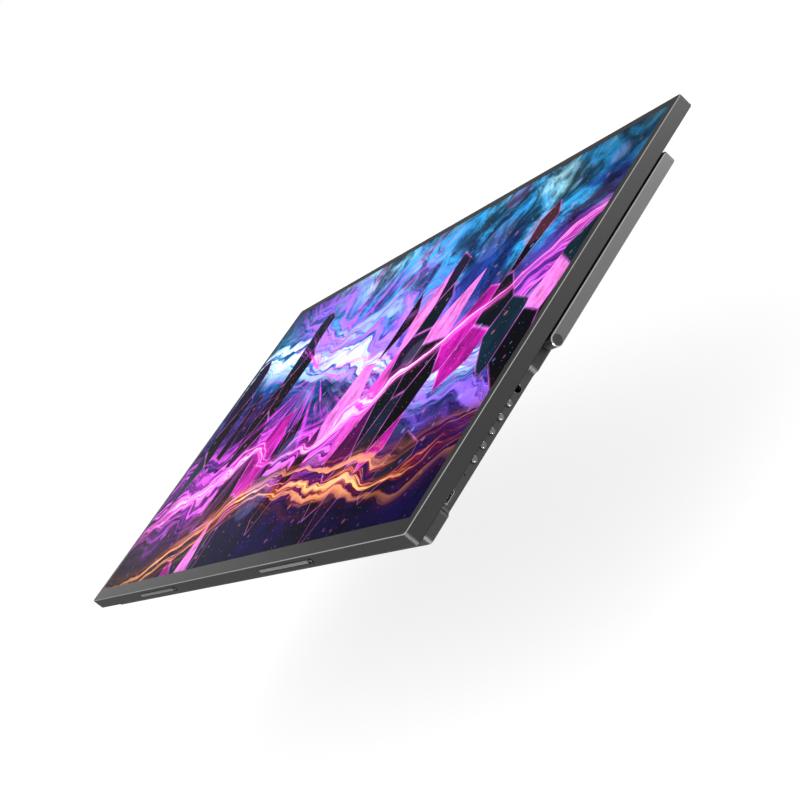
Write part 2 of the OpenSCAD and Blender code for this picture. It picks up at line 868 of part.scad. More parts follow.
module headphone_jack() {
    color("#1b1b1d")
        difference() {
            union() {
                block([bay_inner_x - jack_len, Y(jack_y - jack_side / 2), housing_floor + 0.05],
                      [bay_inner_x - 0.1, Y(jack_y + jack_side / 2), housing_floor + 0.05 + jack_h]);
                // feet that are soldered under the board's edges
                block([bay_inner_x - jack_len + 1.5, Y(jack_y - jack_side / 2 - 0.7), control_z - 0.4],
                      [bay_inner_x - 1.5, Y(jack_y + jack_side / 2 + 0.7), control_z]);
            }
            rod(bay_inner_x - jack_len + 0.8, jack_len + 2, jack_y, jack_z, jack_r);
        }
}

module data_port() {
    color("#b9bcc0")
        difference() {
            slot_bar(bay_inner_x - 5, 5 + housing_wall - 0.4, data_y, data_z, data_w, data_h, 0.5);
            slot_bar(bay_inner_x - 4.4, 8, data_y, data_z, data_w - 0.6, data_h - 0.6, 0.3);
        }
    color("#202124")
        block([bay_inner_x - 5, Y(data_y - data_w / 2 + 0.5), data_z + data_h / 2],
              [bay_inner_x - 1, Y(data_y + data_w / 2 - 0.5), control_z]);
}

module status_light() {
    color("#d8dcd6") {
        rod(bay_inner_x - 2, housing_wall + 1.7, led_y, button_z, led_r);
        block([bay_inner_x - 3.4, Y(led_y - 0.8), button_z - 0.8],
              [bay_inner_x - 1.9, Y(led_y + 0.8), control_z]);
    }
}

/* ---- speakers ---- */

module speaker(side) {
    x = side * speaker_spacing / 2;
    y0 = housing_low + housing_wall + 0.2;
    color("#1a1a1b")
        difference() {
            block([x - speaker_w / 2, Y(y0), housing_floor],
                  [x + speaker_w / 2, Y(y0 + speaker_d), grille_z + grille_h / 2 + 0.7]);
            block([x - grille_w / 2, Y(y0 - 1), grille_z - grille_h / 2],
                  [x + grille_w / 2, Y(y0 + 3), grille_z + grille_h / 2]);
        }
}

module speaker_grille(side) {
    columns = floor((grille_w - 2) / 1.5);
    color("#151516")
        grille_place(side)
            difference() {
                translate([0, 0, 0.3])
                    linear_extrude(housing_wall - 0.5)
                        round_rect(grille_w, grille_h, 0.7);
                for (i = [0:columns], k = [-0.5, 0.5])
                    translate([(i - columns / 2) * 1.5, k * grille_h / 2.2, -1])
                        cylinder(r = grille_hole_r, h = housing_wall + 2);
            }
}

/* ---- leads inside ---- */

// Flat strip that follows points [x, z] in the XZ plane, between two heights y0 and y1
module ribbon(points, y0, y1) {
    translate([0, Y(y1), 0])
        rotate([90, 0, 0])
            linear_extrude(y1 - y0)
                polygon(points);
}

module panel_cable() {
    x0 = main_x + main_len - 12;
    x1 = riser_x + 2;
    z0 = main_z + board_t + 0.2;
    z1 = timing_z - 0.1;
    color("#c77b2b")
        ribbon([[x0, z0], [riser_x, z0], [riser_x, z1 - flex_t], [x1, z1 - flex_t], [x1, z1],
                [riser_x - flex_t, z1], [riser_x - flex_t, z0 + flex_t], [x0, z0 + flex_t]],
               flex_y - flex_w / 2 + 0.4, flex_y + flex_w / 2 - 0.4);
}

// Flat strip from the timing board, down to the LED strip's edge, in plan and then up
module backlight_cable() {
    z0 = timing_z + 0.1;
    x1 = backlight_x + flex_w - 1;
    y_led = slab_h / 2 - optics_h / 2 + led_depth / 3;
    color("#c77b2b") {
        translate([0, 0, z0])
            linear_extrude(flex_t)
                polygon([[timing_w / 2, Y(flex_y - 2)], [backlight_x, Y(flex_y - 2)],
                         [backlight_x, Y(y_led)], [x1, Y(y_led)], [x1, Y(flex_y + 2)],
                         [timing_w / 2, Y(flex_y + 2)]]);
        block([backlight_x, Y(y_led), z0 + flex_t / 2],
              [x1, Y(y_led + flex_t), reflector_z]);
    }
}

module control_cable() {
    x0 = main_x + main_len - 1;
    x1 = control_x - control_len + 2;
    z0 = housing_floor;
    z1 = z0 + flex_t;
    color("#c77b2b")
        ribbon([[x0, z0], [x1 + flex_t, z0], [x1 + flex_t, control_z], [x1, control_z], [x1, z1],
                [x0 + flex_t, z1], [x0 + flex_t, main_z - 0.4], [x0, main_z - 0.4]],
               control_cable_y - flex_w / 2 + 0.4, control_cable_y + flex_w / 2 - 0.4);
}

module speaker_cables() {
    z0 = housing_floor + 2;
    y_speaker = housing_low + housing_wall + 0.2 + speaker_d;
    y_run = y_speaker + 1;
    x_board = main_x + main_len - 4;
    color("#8c2323") {
        // left speaker to the main board
        block([-speaker_spacing / 2 - lead_exit, Y(y_speaker), z0],
              [-speaker_spacing / 2 - lead_exit + lead_t, Y(y_run), z0 + lead_t]);
        block([x_board, Y(y_run), z0],
              [-speaker_spacing / 2 - lead_exit + lead_t, Y(y_run + lead_t), z0 + lead_t]);
        block([x_board, Y(y_run), z0], [x_board + lead_t, Y(main_low + 3), z0 + lead_t]);
        block([x_board, Y(main_low + 2), z0], [x_board + lead_t, Y(main_low + 3), main_z]);
    }
    color("#8c2323") {
        // right speaker to the control board
        x0 = speaker_spacing / 2 + lead_exit;
        x1 = control_x - control_len + 7;
        y_high = control_low + 4 + boss_r + 2;
        block([x0, Y(y_speaker), z0], [x0 + lead_t, Y(y_high + lead_t), z0 + lead_t]);
        block([x0, Y(y_high), z0], [x1, Y(y_high + lead_t), z0 + lead_t]);
        block([x1 - lead_t, Y(y_high), z0], [x1, Y(y_high + lead_t), control_z]);
    }
}

/* ---- kickstand ---- */

function ear_y() = ear_low + boss_r + 0.2;
function ear_x(k) = bracket_x - 5.6 - k * (bracket_len - 8.2);

module hinge_bracket(side) {
    y_far = housing_top - housing_wall - bracket_end_gap;
    color("#7d8084")
        mirror([side < 0 ? 1 : 0, 0, 0])
            difference() {
                union() {
                    block([bracket_x - bracket_len, Y(bracket_low), housing_floor + bracket_seat],
                          [bracket_x, Y(y_far), bracket_h]);
                    block([bracket_x - bracket_len, Y(ear_low), ear_z],
                          [bracket_x - 3, Y(bracket_low + eps), ear_z + ear_t]);
                }
                rod(bracket_x - bracket_len - 1, bracket_len + 2, pivot_y, pivot_z, shaft_hole_r);
                for (k = [0, 1])
                    translate([ear_x(k), Y(ear_y()), ear_z - 1])
                        cylinder(r = screw_r + seat_gap, h = ear_t + 2);
            }
}

module bracket_screws() {
    color("#9a9da1")
        for (s = [-1, 1], k = [0, 1])
            screw(s * ear_x(k), ear_y(), ear_z + ear_t, screw_r - 0.05, 3, screw_head_r, screw_head_t);
}

module hinge_shaft(side) {
    color("#a7aaae")
        mirror([side < 0 ? 1 : 0, 0, 0])
            union() {
                rod(shoulder_x, shaft_outer_x - shoulder_x, pivot_y, pivot_z, shaft_r);
                rod(shaft_inner_x, shoulder_x - shaft_inner_x + 0.1, pivot_y, pivot_z, spigot_r);
            }
}

module hinge_nut(side) {
    color("#8a8d91")
        mirror([side < 0 ? 1 : 0, 0, 0])
            difference() {
                translate([shoulder_x - nut_t, Y(pivot_y), pivot_z])
                    rotate([0, 90, 0])
                        cylinder(r = nut_r, h = nut_t, $fn = 6);
                rod(shoulder_x - nut_t - 1, nut_t + 2, pivot_y, pivot_z, spigot_r + 0.02);
            }
}

module hinge_cap(side) {
    color("#2d2e2f")
        mirror([side < 0 ? 1 : 0, 0, 0])
            rod(arm_outer_x - cap_t, cap_t, pivot_y, pivot_z, cap_r);
}

// One arm's round end with cut edges, for the right side
module arm_end() {
    rod(arm_inner_x + stand_cut, arm_w - 2 * stand_cut, pivot_y, pivot_z, arm_r);
    translate([arm_outer_x - stand_cut, Y(pivot_y), pivot_z])
        rotate([0, 90, 0])
            cylinder(r1 = arm_r, r2 = arm_r - stand_cut, h = stand_cut);
    translate([arm_inner_x, Y(pivot_y), pivot_z])
        rotate([0, 90, 0])
            cylinder(r1 = arm_r - stand_cut, r2 = arm_r, h = stand_cut);
}

module stand_plate() {
    overrun = 20;
    plate_h = stand_reach + overrun;
    difference() {
        translate([0, Y(stand_top - plate_h / 2), 0])
            edge_plate(2 * arm_outer_x, plate_h, arm_t, stand_corner_r, stand_cut, stand_cut);
        // everything below the pivot line
        block([-arm_outer_x - 1, Y(pivot_y - overrun - 1), -1], [arm_outer_x + 1, Y(pivot_y), arm_t + 1]);
        // the open middle
        block([-arm_inner_x, Y(pivot_y - 1), -1], [arm_inner_x, Y(stand_top - bar_w), arm_t + 1]);
    }
}

module stand_frame() {
    color("#5d5e60")
        difference() {
            union() {
                stand_plate();
                arm_end();
                mirror([1, 0, 0])
                    arm_end();
            }
            for (m = [0, 1])
                mirror([m, 0, 0]) {
                    rod(arm_inner_x - 1, arm_w + 2, pivot_y, pivot_z, shaft_r + 0.02);
                    rod(arm_outer_x - cap_t - 0.1, cap_t + 1, pivot_y, pivot_z, cap_r + 0.03);
                }
        }
}

/* ---- buttons ---- */

module button(i) {
    head = 0.25;
    color("#b4b6b8") {
        rod(bay_inner_x - 0.2, housing_wall + button_proud + 0.2 - head, button_y(i), button_z, button_r);
        translate([bay_x + button_proud - head, Y(button_y(i)), button_z])
            rotate([0, 90, 0])
                cylinder(r1 = button_r, r2 = button_r - head, h = head);
        // collar behind the wall and the stem that meets the switch
        block([bay_inner_x - 0.7, Y(button_y(i) - 2.2), housing_floor + 0.1],
              [bay_inner_x - 0.1, Y(button_y(i) + 2.2), control_z - 0.3]);
        rod(bay_inner_x - 1.3, 0.8, button_y(i), button_z, 0.9);
    }
}

front_bezel();
cover_glass();
lcd_cell();
optical_films();
light_guide();
led_strip();
reflector_sheet();
panel_tray();
timing_board();
back_cover();
rear_inlay();
rear_housing();
vesa_inserts();
housing_screws();
main_board();
scaler_chip();
board_components();
board_screws();
video_port();
usb_port_low();
usb_port_high();
control_board();
tact_switches();
headphone_jack();
data_port();
status_light();
speaker(-1);  // speaker_left
speaker(1);  // speaker_right
speaker_grille(-1);  // speaker_grille_left
speaker_grille(1);  // speaker_grille_right
panel_cable();
backlight_cable();
control_cable();
speaker_cables();
foot_strip(-1);  // foot_strip_left
foot_strip(1);  // foot_strip_right
foot_screws();
hinge_bracket(-1);  // hinge_bracket_left
hinge_bracket(1);  // hinge_bracket_right
bracket_screws();
stand_frame();
hinge_shaft(-1);  // hinge_shaft_left
hinge_shaft(1);  // hinge_shaft_right
hinge_nut(-1);  // hinge_nut_left
hinge_nut(1);  // hinge_nut_right
hinge_cap(-1);  // hinge_cap_left
hinge_cap(1);  // hinge_cap_right
button(0);  // button_1
button(1);  // button_2
button(2);  // button_3
button(3);  // button_4
button(4);  // button_5
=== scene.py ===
"""Visual model of a thin portable display with a folding kickstand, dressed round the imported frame."""
import logging
import math
from dataclasses import dataclass
from enum import Enum
from typing import Callable, Optional, Sequence, Union

import bmesh
import bpy
from mathutils import Matrix, Vector


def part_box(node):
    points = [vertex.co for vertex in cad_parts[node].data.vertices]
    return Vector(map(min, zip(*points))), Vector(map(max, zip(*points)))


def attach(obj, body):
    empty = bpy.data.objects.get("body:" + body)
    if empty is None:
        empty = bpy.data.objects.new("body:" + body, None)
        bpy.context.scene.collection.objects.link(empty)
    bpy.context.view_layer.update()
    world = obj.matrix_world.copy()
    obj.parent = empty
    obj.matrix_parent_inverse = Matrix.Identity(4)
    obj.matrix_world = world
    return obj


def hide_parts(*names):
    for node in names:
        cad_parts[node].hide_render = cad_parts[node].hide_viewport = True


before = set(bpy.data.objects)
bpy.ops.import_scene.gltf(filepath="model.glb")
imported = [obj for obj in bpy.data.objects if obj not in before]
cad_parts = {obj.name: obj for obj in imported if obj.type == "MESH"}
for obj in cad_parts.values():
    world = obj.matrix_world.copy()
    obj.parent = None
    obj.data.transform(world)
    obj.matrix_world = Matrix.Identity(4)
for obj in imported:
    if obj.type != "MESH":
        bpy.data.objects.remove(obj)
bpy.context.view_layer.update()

LOG = logging.getLogger("portable_display")
MM = 0.001
DISPLAY = "display"
SIDES = ("left", "right")
SAME_POINT = 1e-7
GENTLE_ANGLE = math.radians(32)
FINE_TURN, MARK_TURN, COARSE_TURN = 56, 48, 40

BMesh = bmesh.types.BMesh
Socket = bpy.types.NodeSocket
Colour = tuple[float, float, float]
Point = Sequence[float]
Stops = Sequence[tuple[float, Colour]]
Value = Union[float, Socket]
Entry = Union[Value, Sequence[float]]


def tone(*screen: float) -> Colour:
    """Turns red, green and blue from 0 to 255 on the screen into a linear scene colour."""
    levels = (value / 255.0 for value in screen)
    return tuple(level / 12.92 if level <= 0.04045 else ((level + 0.055) / 1.055) ** 2.4 for level in levels)


def dimmed(colour: Colour, share: float) -> Colour:
    """A colour times a plain number."""
    return tuple(share * part for part in colour)


class Side(Enum):
    """A side of the display, seen from the front."""

    LEFT = -1
    RIGHT = 1


class Space(Enum):
    """What a pattern's coordinates follow."""

    OBJECT = "Object"
    NORMAL = "Normal"
    SKY = "Generated"


class NodeTools:
    """Short calls that add nodes to one tree."""

    def __init__(self, tree: bpy.types.NodeTree) -> None:
        """Empties the tree that the nodes go into."""
        self.tree = tree
        self.tree.nodes.clear()

    def feed(self, socket: Socket, value: Entry) -> None:
        """Links a socket or writes a plain value.

        Args:
            socket: The input to fill.
            value: Another node's output, a number or a colour.
        """
        if isinstance(value, bpy.types.NodeSocket):
            self.tree.links.new(value, socket)
        elif isinstance(value, (int, float)):
            socket.default_value = value
        else:
            wide = len(socket.default_value)
            socket.default_value = (*value, 1.0)[:wide]

    def node(self, kind: str, entries: Optional[dict] = None, **settings: object) -> bpy.types.Node:
        """Adds one node.

        Args:
            kind: Its type's name, without what all of them start with.
            entries: What its inputs get, by name or number.
            **settings: Its own options.

        Returns:
            The node.
        """
        made = self.tree.nodes.new(f"ShaderNode{kind}")
        for name, value in settings.items():
            setattr(made, name, value)
        for name, value in (entries or {}).items():
            self.feed(made.inputs[name], value)
        return made

    def place(self, space: Space = Space.OBJECT) -> Socket:
        """The coordinates of one kind."""
        return self.node("TexCoord").outputs[space.value]

    def split(self, vector: Socket) -> tuple[Socket, Socket, Socket]:
        """The three parts of a vector."""
        return tuple(self.node("SeparateXYZ", {0: vector}).outputs)

    def join(self, x: Value, y: Value, z: Value = 0.0) -> Socket:
        """A vector from three parts."""
        return self.node("CombineXYZ", {0: x, 1: y, 2: z}).outputs[0]

    def math(self, operation: str, first: Value, second: Value = 0.0, third: Value = 0.0) -> Socket:
        """One arithmetic step, by the name of the Math node's operation."""
        return self.node("Math", {0: first, 1: second, 2: third}, operation=operation).outputs[0]

    def times(self, first: Value, second: Value) -> Socket:
        """The product of two values."""
        return self.math("MULTIPLY", first, second)

    def minus(self, first: Value, second: Value) -> Socket:
        """The first value less the second."""
        return self.math("SUBTRACT", first, second)

    def line(self, value: Value, slope: Value, start: Value) -> Socket:
        """A value times a slope, on top of a start."""
        return self.math("MULTIPLY_ADD", value, slope, start)

    def length(self, x: Socket, y: Socket) -> Socket:
        """Length of a flat vector."""
        return self.math("SQRT", self.line(x, x, self.times(y, y)))

    def level(self, value: Value, low: float, high: float, out_low: Value = 0.0,
              out_high: Value = 1.0, smooth: bool = True) -> Socket:
        """Maps one range onto another, held at its ends."""
        entries = {"Value": value, "From Min": low, "From Max": high, "To Min": out_low, "To Max": out_high}
        kind = "SMOOTHSTEP" if smooth else "LINEAR"
        return self.node("MapRange", entries, interpolation_type=kind).outputs[0]


class NodeSheet(NodeTools):
    """One material with a Principled shader, and what its surface needs."""

    def __init__(self, name: str) -> None:
        """Starts a material of this name."""
        self.material = bpy.data.materials.new(name)
        self.material.use_nodes = True
        super().__init__(self.material.node_tree)
        self.shader = self.node("BsdfPrincipled")
        self.output = self.node("OutputMaterial", {"Surface": self.shader.outputs[0]})

    def set(self, name: str, value: Entry) -> None:
        """Fills one of the shader's inputs by name."""
        self.feed(self.shader.inputs[name], value)

    def stretch(self, vector: Socket, scale: Sequence[float], turn: float = 0.0) -> Socket:
        """Coordinates scaled along each axis and turned about Z, in radians."""
        entries = {"Vector": vector, "Scale": scale, "Rotation": (0.0, 0.0, turn)}
        return self.node("Mapping", entries).outputs[0]

    def noise(self, vector: Socket, scale: float, detail: float = 3.0, roughness: float = 0.5,
              distortion: float = 0.0) -> Socket:
        """Soft noise from 0 to 1."""
        entries = {"Vector": vector, "Scale": scale, "Detail": detail, "Roughness": roughness,
                   "Distortion": distortion}
        return self.node("TexNoise", entries).outputs["Fac"]

    def cells(self, vector: Socket, scale: float, randomness: float = 1.0,
              feature: str = "F1") -> bpy.types.NodeOutputs:
        """Flat scattered cells: the distance to a point or border, and that point's own colour and place."""
        entries = {"Vector": vector, "Scale": scale, "Randomness": randomness}
        return self.node("TexVoronoi", entries, voronoi_dimensions="2D", feature=feature).outputs

    def mix(self, amount: Value, first: Entry, second: Entry, blend: str = "MIX") -> Socket:
        """Blends two colours, from the first at an amount of 0 to the second at 1."""
        entries = {0: amount, 6: first, 7: second}
        return self.node("Mix", entries, data_type="RGBA", blend_type=blend).outputs[2]

    def ramp(self, amount: Socket, stops: Stops, smooth: bool = True) -> Socket:
        """Runs a value through a list of colours.

        Args:
            amount: The value, from 0 to 1.
            stops: Positions and colours.
            smooth: Whether the colours ease into one another.

        Returns:
            The colour's socket.
        """
        node = self.node("ValToRGB", {0: amount})
        band = node.color_ramp
        band.interpolation = "EASE" if smooth else "LINEAR"
        while len(band.elements) < len(stops):
            band.elements.new(0.5)
        for element, (position, colour) in zip(band.elements, stops):
            element.position = position
            element.color = (*colour, 1.0)
        return node.outputs["Color"]

    def mottled(self, base: Colour, scale: float, detail: float, low: float, high: float) -> Socket:
        """A colour that drifts between two shares of itself, in patches of a scale."""
        return self.mix(self.noise(self.place(), scale, detail), dimmed(base, low), dimmed(base, high))

    def worn(self, grain: Socket, roughness: float, less: float, more: float) -> Socket:
        """A roughness that follows a grain, from a little less to a little more."""
        return self.level(grain, 0.3, 0.7, roughness - less, roughness + more)

    def bump(self, height: Socket, depth: float, strength: float = 1.0) -> None:
        """Gives the surface a relief from a height of 0 to 1, with its depth in metres."""
        relief = self.node("Bump", {"Strength": strength, "Distance": depth, "Height": height})
        self.set("Normal", relief.outputs[0])

    def edge_cuts(self, with_sides: bool = False) -> tuple[Socket, Socket]:
        """Where a surface is one of the 45 degree cuts along the outer edges.

        Args:
            with_sides: Whether cuts that face sideways count as front ones.

        Returns:
            1 on the front cuts and 0 elsewhere, and the same for the cuts along the back edges.
        """
        x, _, z = self.split(self.place(Space.NORMAL))
        front, back = (self.math("COMPARE", z, side * math.sqrt(0.5), 0.09) for side in (1.0, -1.0))
        if with_sides:
            sideways = self.math("COMPARE", self.math("ABSOLUTE", x), math.sqrt(0.5), 0.03)
            front = self.math("MAXIMUM", front, sideways)
        return front, back


@dataclass(frozen=True)
class Finish:
    """A named look, which each kind of material paints in its own way."""

    name: str

    def material(self) -> bpy.types.Material:
        """Builds the material."""
        sheet = NodeSheet(self.name)
        self.paint(sheet)
        return sheet.material

    def paint(self, sheet: NodeSheet) -> None:
        """Adds the look's nodes to its sheet."""
        raise NotImplementedError


@dataclass(frozen=True)
class BlastedMetal(Finish):
    """Bead-blasted anodised metal with polished cuts along its edges; a low share on the back cuts paints a
    dark shadow line along the back edges.
    """

    base: Colour
    cut: Colour
    metallic: float = 0.9
    roughness: float = 0.42
    cut_roughness: float = 0.22
    grain: float = 2600.0
    grain_depth: float = 0.02 * MM
    side_cuts: bool = False
    # Share of the cut colour on the back cuts: 1 keeps them polished, a low share paints a dark shadow line
    # along the back edges.
    low_cuts: float = 0.03
    grazing: float = 0.5

    def paint(self, sheet: NodeSheet) -> None:
        """Adds the grain, the bright front cuts and the back cuts, whose colour is the cut colour times a
        share; a low share paints a dark shadow line.
        """
        fine = sheet.noise(sheet.place(), self.grain, 2.0, 0.6)
        body = sheet.mottled(self.base, 9.0, 2.0, 0.86, 1.12)
        body = sheet.mix(sheet.level(fine, 0.3, 0.7, 0.0, 0.16), body, dimmed(self.base, 1.5))
        front_cut, back_cut = sheet.edge_cuts(self.side_cuts)
        colour = sheet.mix(front_cut, body, self.cut)
        # The back cuts take a share of the cut colour; a low share is a painted shadow line.
        sheet.set("Base Color", sheet.mix(back_cut, colour, dimmed(self.cut, self.low_cuts)))
        sheet.set("Metallic", self.metallic)
        sheet.set("Specular Tint", (self.grazing,) * 3)
        rough = sheet.worn(fine, self.roughness, 0.05, 0.06)
        cut = sheet.math("MAXIMUM", front_cut, back_cut)
        sheet.set("Roughness", sheet.level(cut, 0.0, 1.0, rough, self.cut_roughness, smooth=False))
        sheet.bump(fine, self.grain_depth, 0.6)


@dataclass(frozen=True)
class MouldedPlastic(Finish):
    """Moulded plastic with a fine spark-eroded grain."""

    base: Colour
    roughness: float = 0.5
    grain: float = 1800.0
    grain_depth: float = 0.02 * MM
    metallic: float = 0.0
    gloss: float = 0.5

    def paint(self, sheet: NodeSheet) -> None:
        """Adds the grain."""
        fine = sheet.noise(sheet.place(), self.grain, 2.0, 0.6)
        sheet.set("Base Color", sheet.mottled(self.base, 40.0, 3.0, 0.85, 1.15))
        sheet.set("Metallic", self.metallic)
        sheet.set("Specular IOR Level", self.gloss)
        sheet.set("Roughness", sheet.worn(fine, self.roughness, 0.06, 0.08))
        sheet.bump(fine, self.grain_depth, 0.5)


@dataclass(frozen=True)
class PlatedMetal(Finish):
    """Bright plated or turned metal with faint drawing lines."""

    base: Colour
    roughness: float = 0.25
    lines: tuple[float, float, float] = (200.0, 200.0, 6000.0)

    def paint(self, sheet: NodeSheet) -> None:
        """Adds the drawing lines and a faint stain."""
        place = sheet.place()
        drawn = sheet.noise(sheet.stretch(place, self.lines), 1.0, 3.0, 0.6)
        stain = sheet.level(sheet.noise(place, 300.0, 2.0), 0.3, 0.8)
        sheet.set("Base Color", sheet.mix(stain, self.base, dimmed(self.base, 0.78)))
        sheet.set("Metallic", 1.0)
        sheet.set("Roughness", sheet.worn(drawn, self.roughness, 0.06, 0.12))
        sheet.bump(drawn, 0.01 * MM, 0.4)


@dataclass(frozen=True)
class CircuitBoard(Finish):
    """Solder mask over copper tracks."""

    mask: Colour = (0.012, 0.075, 0.035)
    track: Colour = (0.03, 0.16, 0.07)
    patch: float = 3.0 * MM

    def paint(self, sheet: NodeSheet) -> None:
        """Adds patches of tracks that run one way or the other."""
        x, y, _ = sheet.split(sheet.place())
        lane = sheet.noise(sheet.join(*(sheet.math("SNAP", part, self.patch) for part in (x, y))), 900.0, 1.0)
        across, along = (sheet.math("PINGPONG", sheet.times(part, 1.0 / MM), 0.5) for part in (x, y))
        line = sheet.mix(sheet.math("GREATER_THAN", lane, 0.5), across, along)
        track = sheet.level(line, 0.2, 0.3)
        sheet.set("Base Color", sheet.mix(track, self.mask, self.track))
        sheet.set("Roughness", sheet.level(track, 0.0, 1.0, 0.3, 0.38))
        sheet.set("Coat Weight", 0.3)
        sheet.bump(track, 0.02 * MM, 0.6)


@dataclass(frozen=True)
class Ribbon(Finish):
    """Flat cable with tracks along it."""

    base: Colour
    stripe: Colour
    pitch: float = 0.5 * MM
    along_x: bool = True

    def paint(self, sheet: NodeSheet) -> None:
        """Adds the tracks."""
        x, y, _ = sheet.split(sheet.place())
        track = sheet.math("PINGPONG", y if self.along_x else x, self.pitch)
        mask = sheet.level(track, 0.4 * self.pitch, 0.6 * self.pitch)
        sheet.set("Base Color", sheet.mix(mask, self.base, self.stripe))
        sheet.set("Roughness", sheet.level(mask, 0.0, 1.0, 0.35, 0.45))
        sheet.bump(mask, 0.02 * MM, 0.5)


@dataclass(frozen=True)
class ClearSheet(Finish):
    """Clear or milky optical sheet with a dot print."""

    base: Colour
    dots: Colour
    roughness: float = 0.2

    def paint(self, sheet: NodeSheet) -> None:
        """Adds the rows of dots."""
        dot = sheet.level(sheet.cells(sheet.place(), 700.0, 0.0)["Distance"], 0.2, 0.3, 1.0, 0.0)
        sheet.set("Base Color", sheet.mix(dot, self.base, self.dots))
        sheet.set("Roughness", sheet.level(dot, 0.0, 1.0, self.roughness, self.roughness + 0.2))


@dataclass(frozen=True)
class Band:
    """Place, waves and colours of one band of light in the picture."""

    colour: Colour
    core: Colour
    height: float
    slope: float
    swing: float
    turns: float
    phase: float
    bend: float
    width: float
    strands: float
    dim: float


@dataclass(frozen=True)
class Spots:
    """One layer of round spots of light in the picture."""

    scale: float
    radius: float
    edge: float
    strength: float


@dataclass(frozen=True)
class LitPicture(Finish):
    """The lit picture: a generic pattern of light bands, crystals, rays and spots."""

    width: float
    height: float
    units: tuple[float, float] = (16.0, 9.0)
    ground: Stops = (
        (0.0, tone(3, 4, 16)), (0.28, tone(12, 12, 56)), (0.45, tone(40, 22, 122)), (0.56, tone(20, 70, 168)),
        (0.68, tone(44, 160, 224)), (0.84, tone(176, 238, 250)))
    low_bands: tuple[Band, ...] = (
        Band(tone(20, 140, 216), tone(226, 252, 255), 0.72, -0.22, 0.12, 5.2, 0.4, 0.5, 0.11, 34.0, 0.05),
        Band(tone(176, 14, 200), tone(255, 116, 244), 0.22, 0.42, 0.10, 4.1, 2.2, 0.6, 0.12, 46.0, 0.0),
        Band(tone(70, 26, 190), tone(172, 122, 255), 0.98, -0.62, 0.09, 3.6, 0.9, 0.7, 0.12, 26.0, 0.0))
    top_bands: tuple[Band, ...] = (
        Band(tone(196, 22, 34), tone(255, 196, 120), 0.06, 0.18, 0.07, 7.0, 4.4, 0.4, 0.055, 60.0, 0.0),
        Band(tone(250, 64, 214), tone(255, 220, 250), 0.15, 0.52, 0.07, 6.0, 1.0, 0.5, 0.022, 70.0, 0.2))
    crystal: Stops = (
        (0.0, tone(3, 4, 12)), (0.3, tone(6, 14, 30)), (0.46, tone(10, 74, 96)), (0.6, tone(52, 12, 78)),
        (0.74, tone(214, 22, 184)), (0.9, tone(252, 132, 232)))
    crystal_scale: float = 1.5
    crystal_lean: float = 0.6
    crystal_squash: float = 0.42
    spot_tints: Stops = (
        (0.0, tone(240, 60, 180)), (0.4, tone(90, 180, 250)), (0.7, tone(255, 140, 60)),
        (1.0, tone(190, 90, 255)))
    spots: tuple[Spots, ...] = (
        Spots(0.5, 0.4, 0.06, 0.16), Spots(2.6, 0.2, 0.1, 0.4), Spots(8.0, 0.13, 0.1, 0.8))
    ray_centre: tuple[float, float] = (0.36, 0.62)
    ray_colour: Colour = tone(226, 60, 236)
    dark: float = 0.05
    bright: float = 0.75
    dark_gain: float = 0.5
    bright_gain: float = 1.6

    def lay_band(self, sheet: NodeSheet, where: tuple[Socket, Socket, Socket], picture: Socket,
                 shape: Band) -> Socket:
        """Lays one soft band of light with a bright core, which waves across the picture.

        Args:
            sheet: The material being built.
            where: Place from left to right and from bottom to top, and noise that bends the band.
            picture: What lies behind it.
            shape: The band's place, waves, width and colours.

        Returns:
            The picture with the band.
        """
        across, up, wobble = where
        wave = sheet.math("SINE", sheet.line(across, shape.turns, shape.phase))
        centre = sheet.line(wave, shape.swing, shape.height)
        centre = sheet.line(across, shape.slope, centre)
        off = sheet.minus(up, sheet.line(wobble, shape.bend, centre))
        ratio = sheet.math("DIVIDE", off, shape.width)
        glow = sheet.math("EXPONENT", sheet.times(sheet.times(ratio, ratio), -1.0))
        flow = sheet.join(sheet.times(across, 3.0), sheet.times(off, shape.strands), shape.phase)
        strand = sheet.noise(flow, 1.0, 6.0, 0.62)
        cover = sheet.times(glow, sheet.level(strand, 0.36, 0.6, shape.dim, 1.0))
        core = sheet.times(sheet.math("POWER", glow, 1.8), sheet.level(strand, 0.47, 0.6))
        return sheet.mix(core, sheet.mix(cover, picture, shape.colour), shape.core)

    def lay_spots(self, sheet: NodeSheet, plane: Socket, picture: Socket, shape: Spots) -> Socket:
        """Lays round spots of light of many sizes.

        Args:
            sheet: The material being built.
            plane: Coordinates in the picture's plane.
            picture: What lies behind them.
            shape: The layer's sizes.

        Returns:
            The picture with the spots.
        """
        cells = sheet.cells(plane, shape.scale)
        pick, size, tint = sheet.split(cells["Color"])
        reach = sheet.level(size, 0.0, 1.0, 0.3 * shape.radius, shape.radius, smooth=False)
        disc = sheet.level(sheet.minus(reach, cells["Distance"]), 0.0, shape.edge)
        light = sheet.times(sheet.times(disc, sheet.math("GREATER_THAN", pick, 0.6)), shape.strength)
        return sheet.mix(light, picture, sheet.ramp(tint, self.spot_tints, smooth=False))

    def rays(self, sheet: NodeSheet, across: Socket, up: Socket) -> Socket:
        """Fine rays that fan out from one place.

        Args:
            sheet: The material being built.
            across: Place from left to right.
            up: Place from bottom to top.

        Returns:
            Brightness from 0 to 1.
        """
        x = sheet.times(sheet.minus(across, self.ray_centre[0]), self.width / self.height)
        y = sheet.minus(up, self.ray_centre[1])
        reach = sheet.length(x, y)
        fan = sheet.join(sheet.times(sheet.math("ARCTAN2", y, x), 7.0), sheet.times(reach, 1.8))
        streak = sheet.level(sheet.noise(fan, 1.0, 6.0, 0.72), 0.5, 0.64)
        return sheet.times(streak, sheet.level(reach, 0.02, 0.66, 1.0, 0.0))

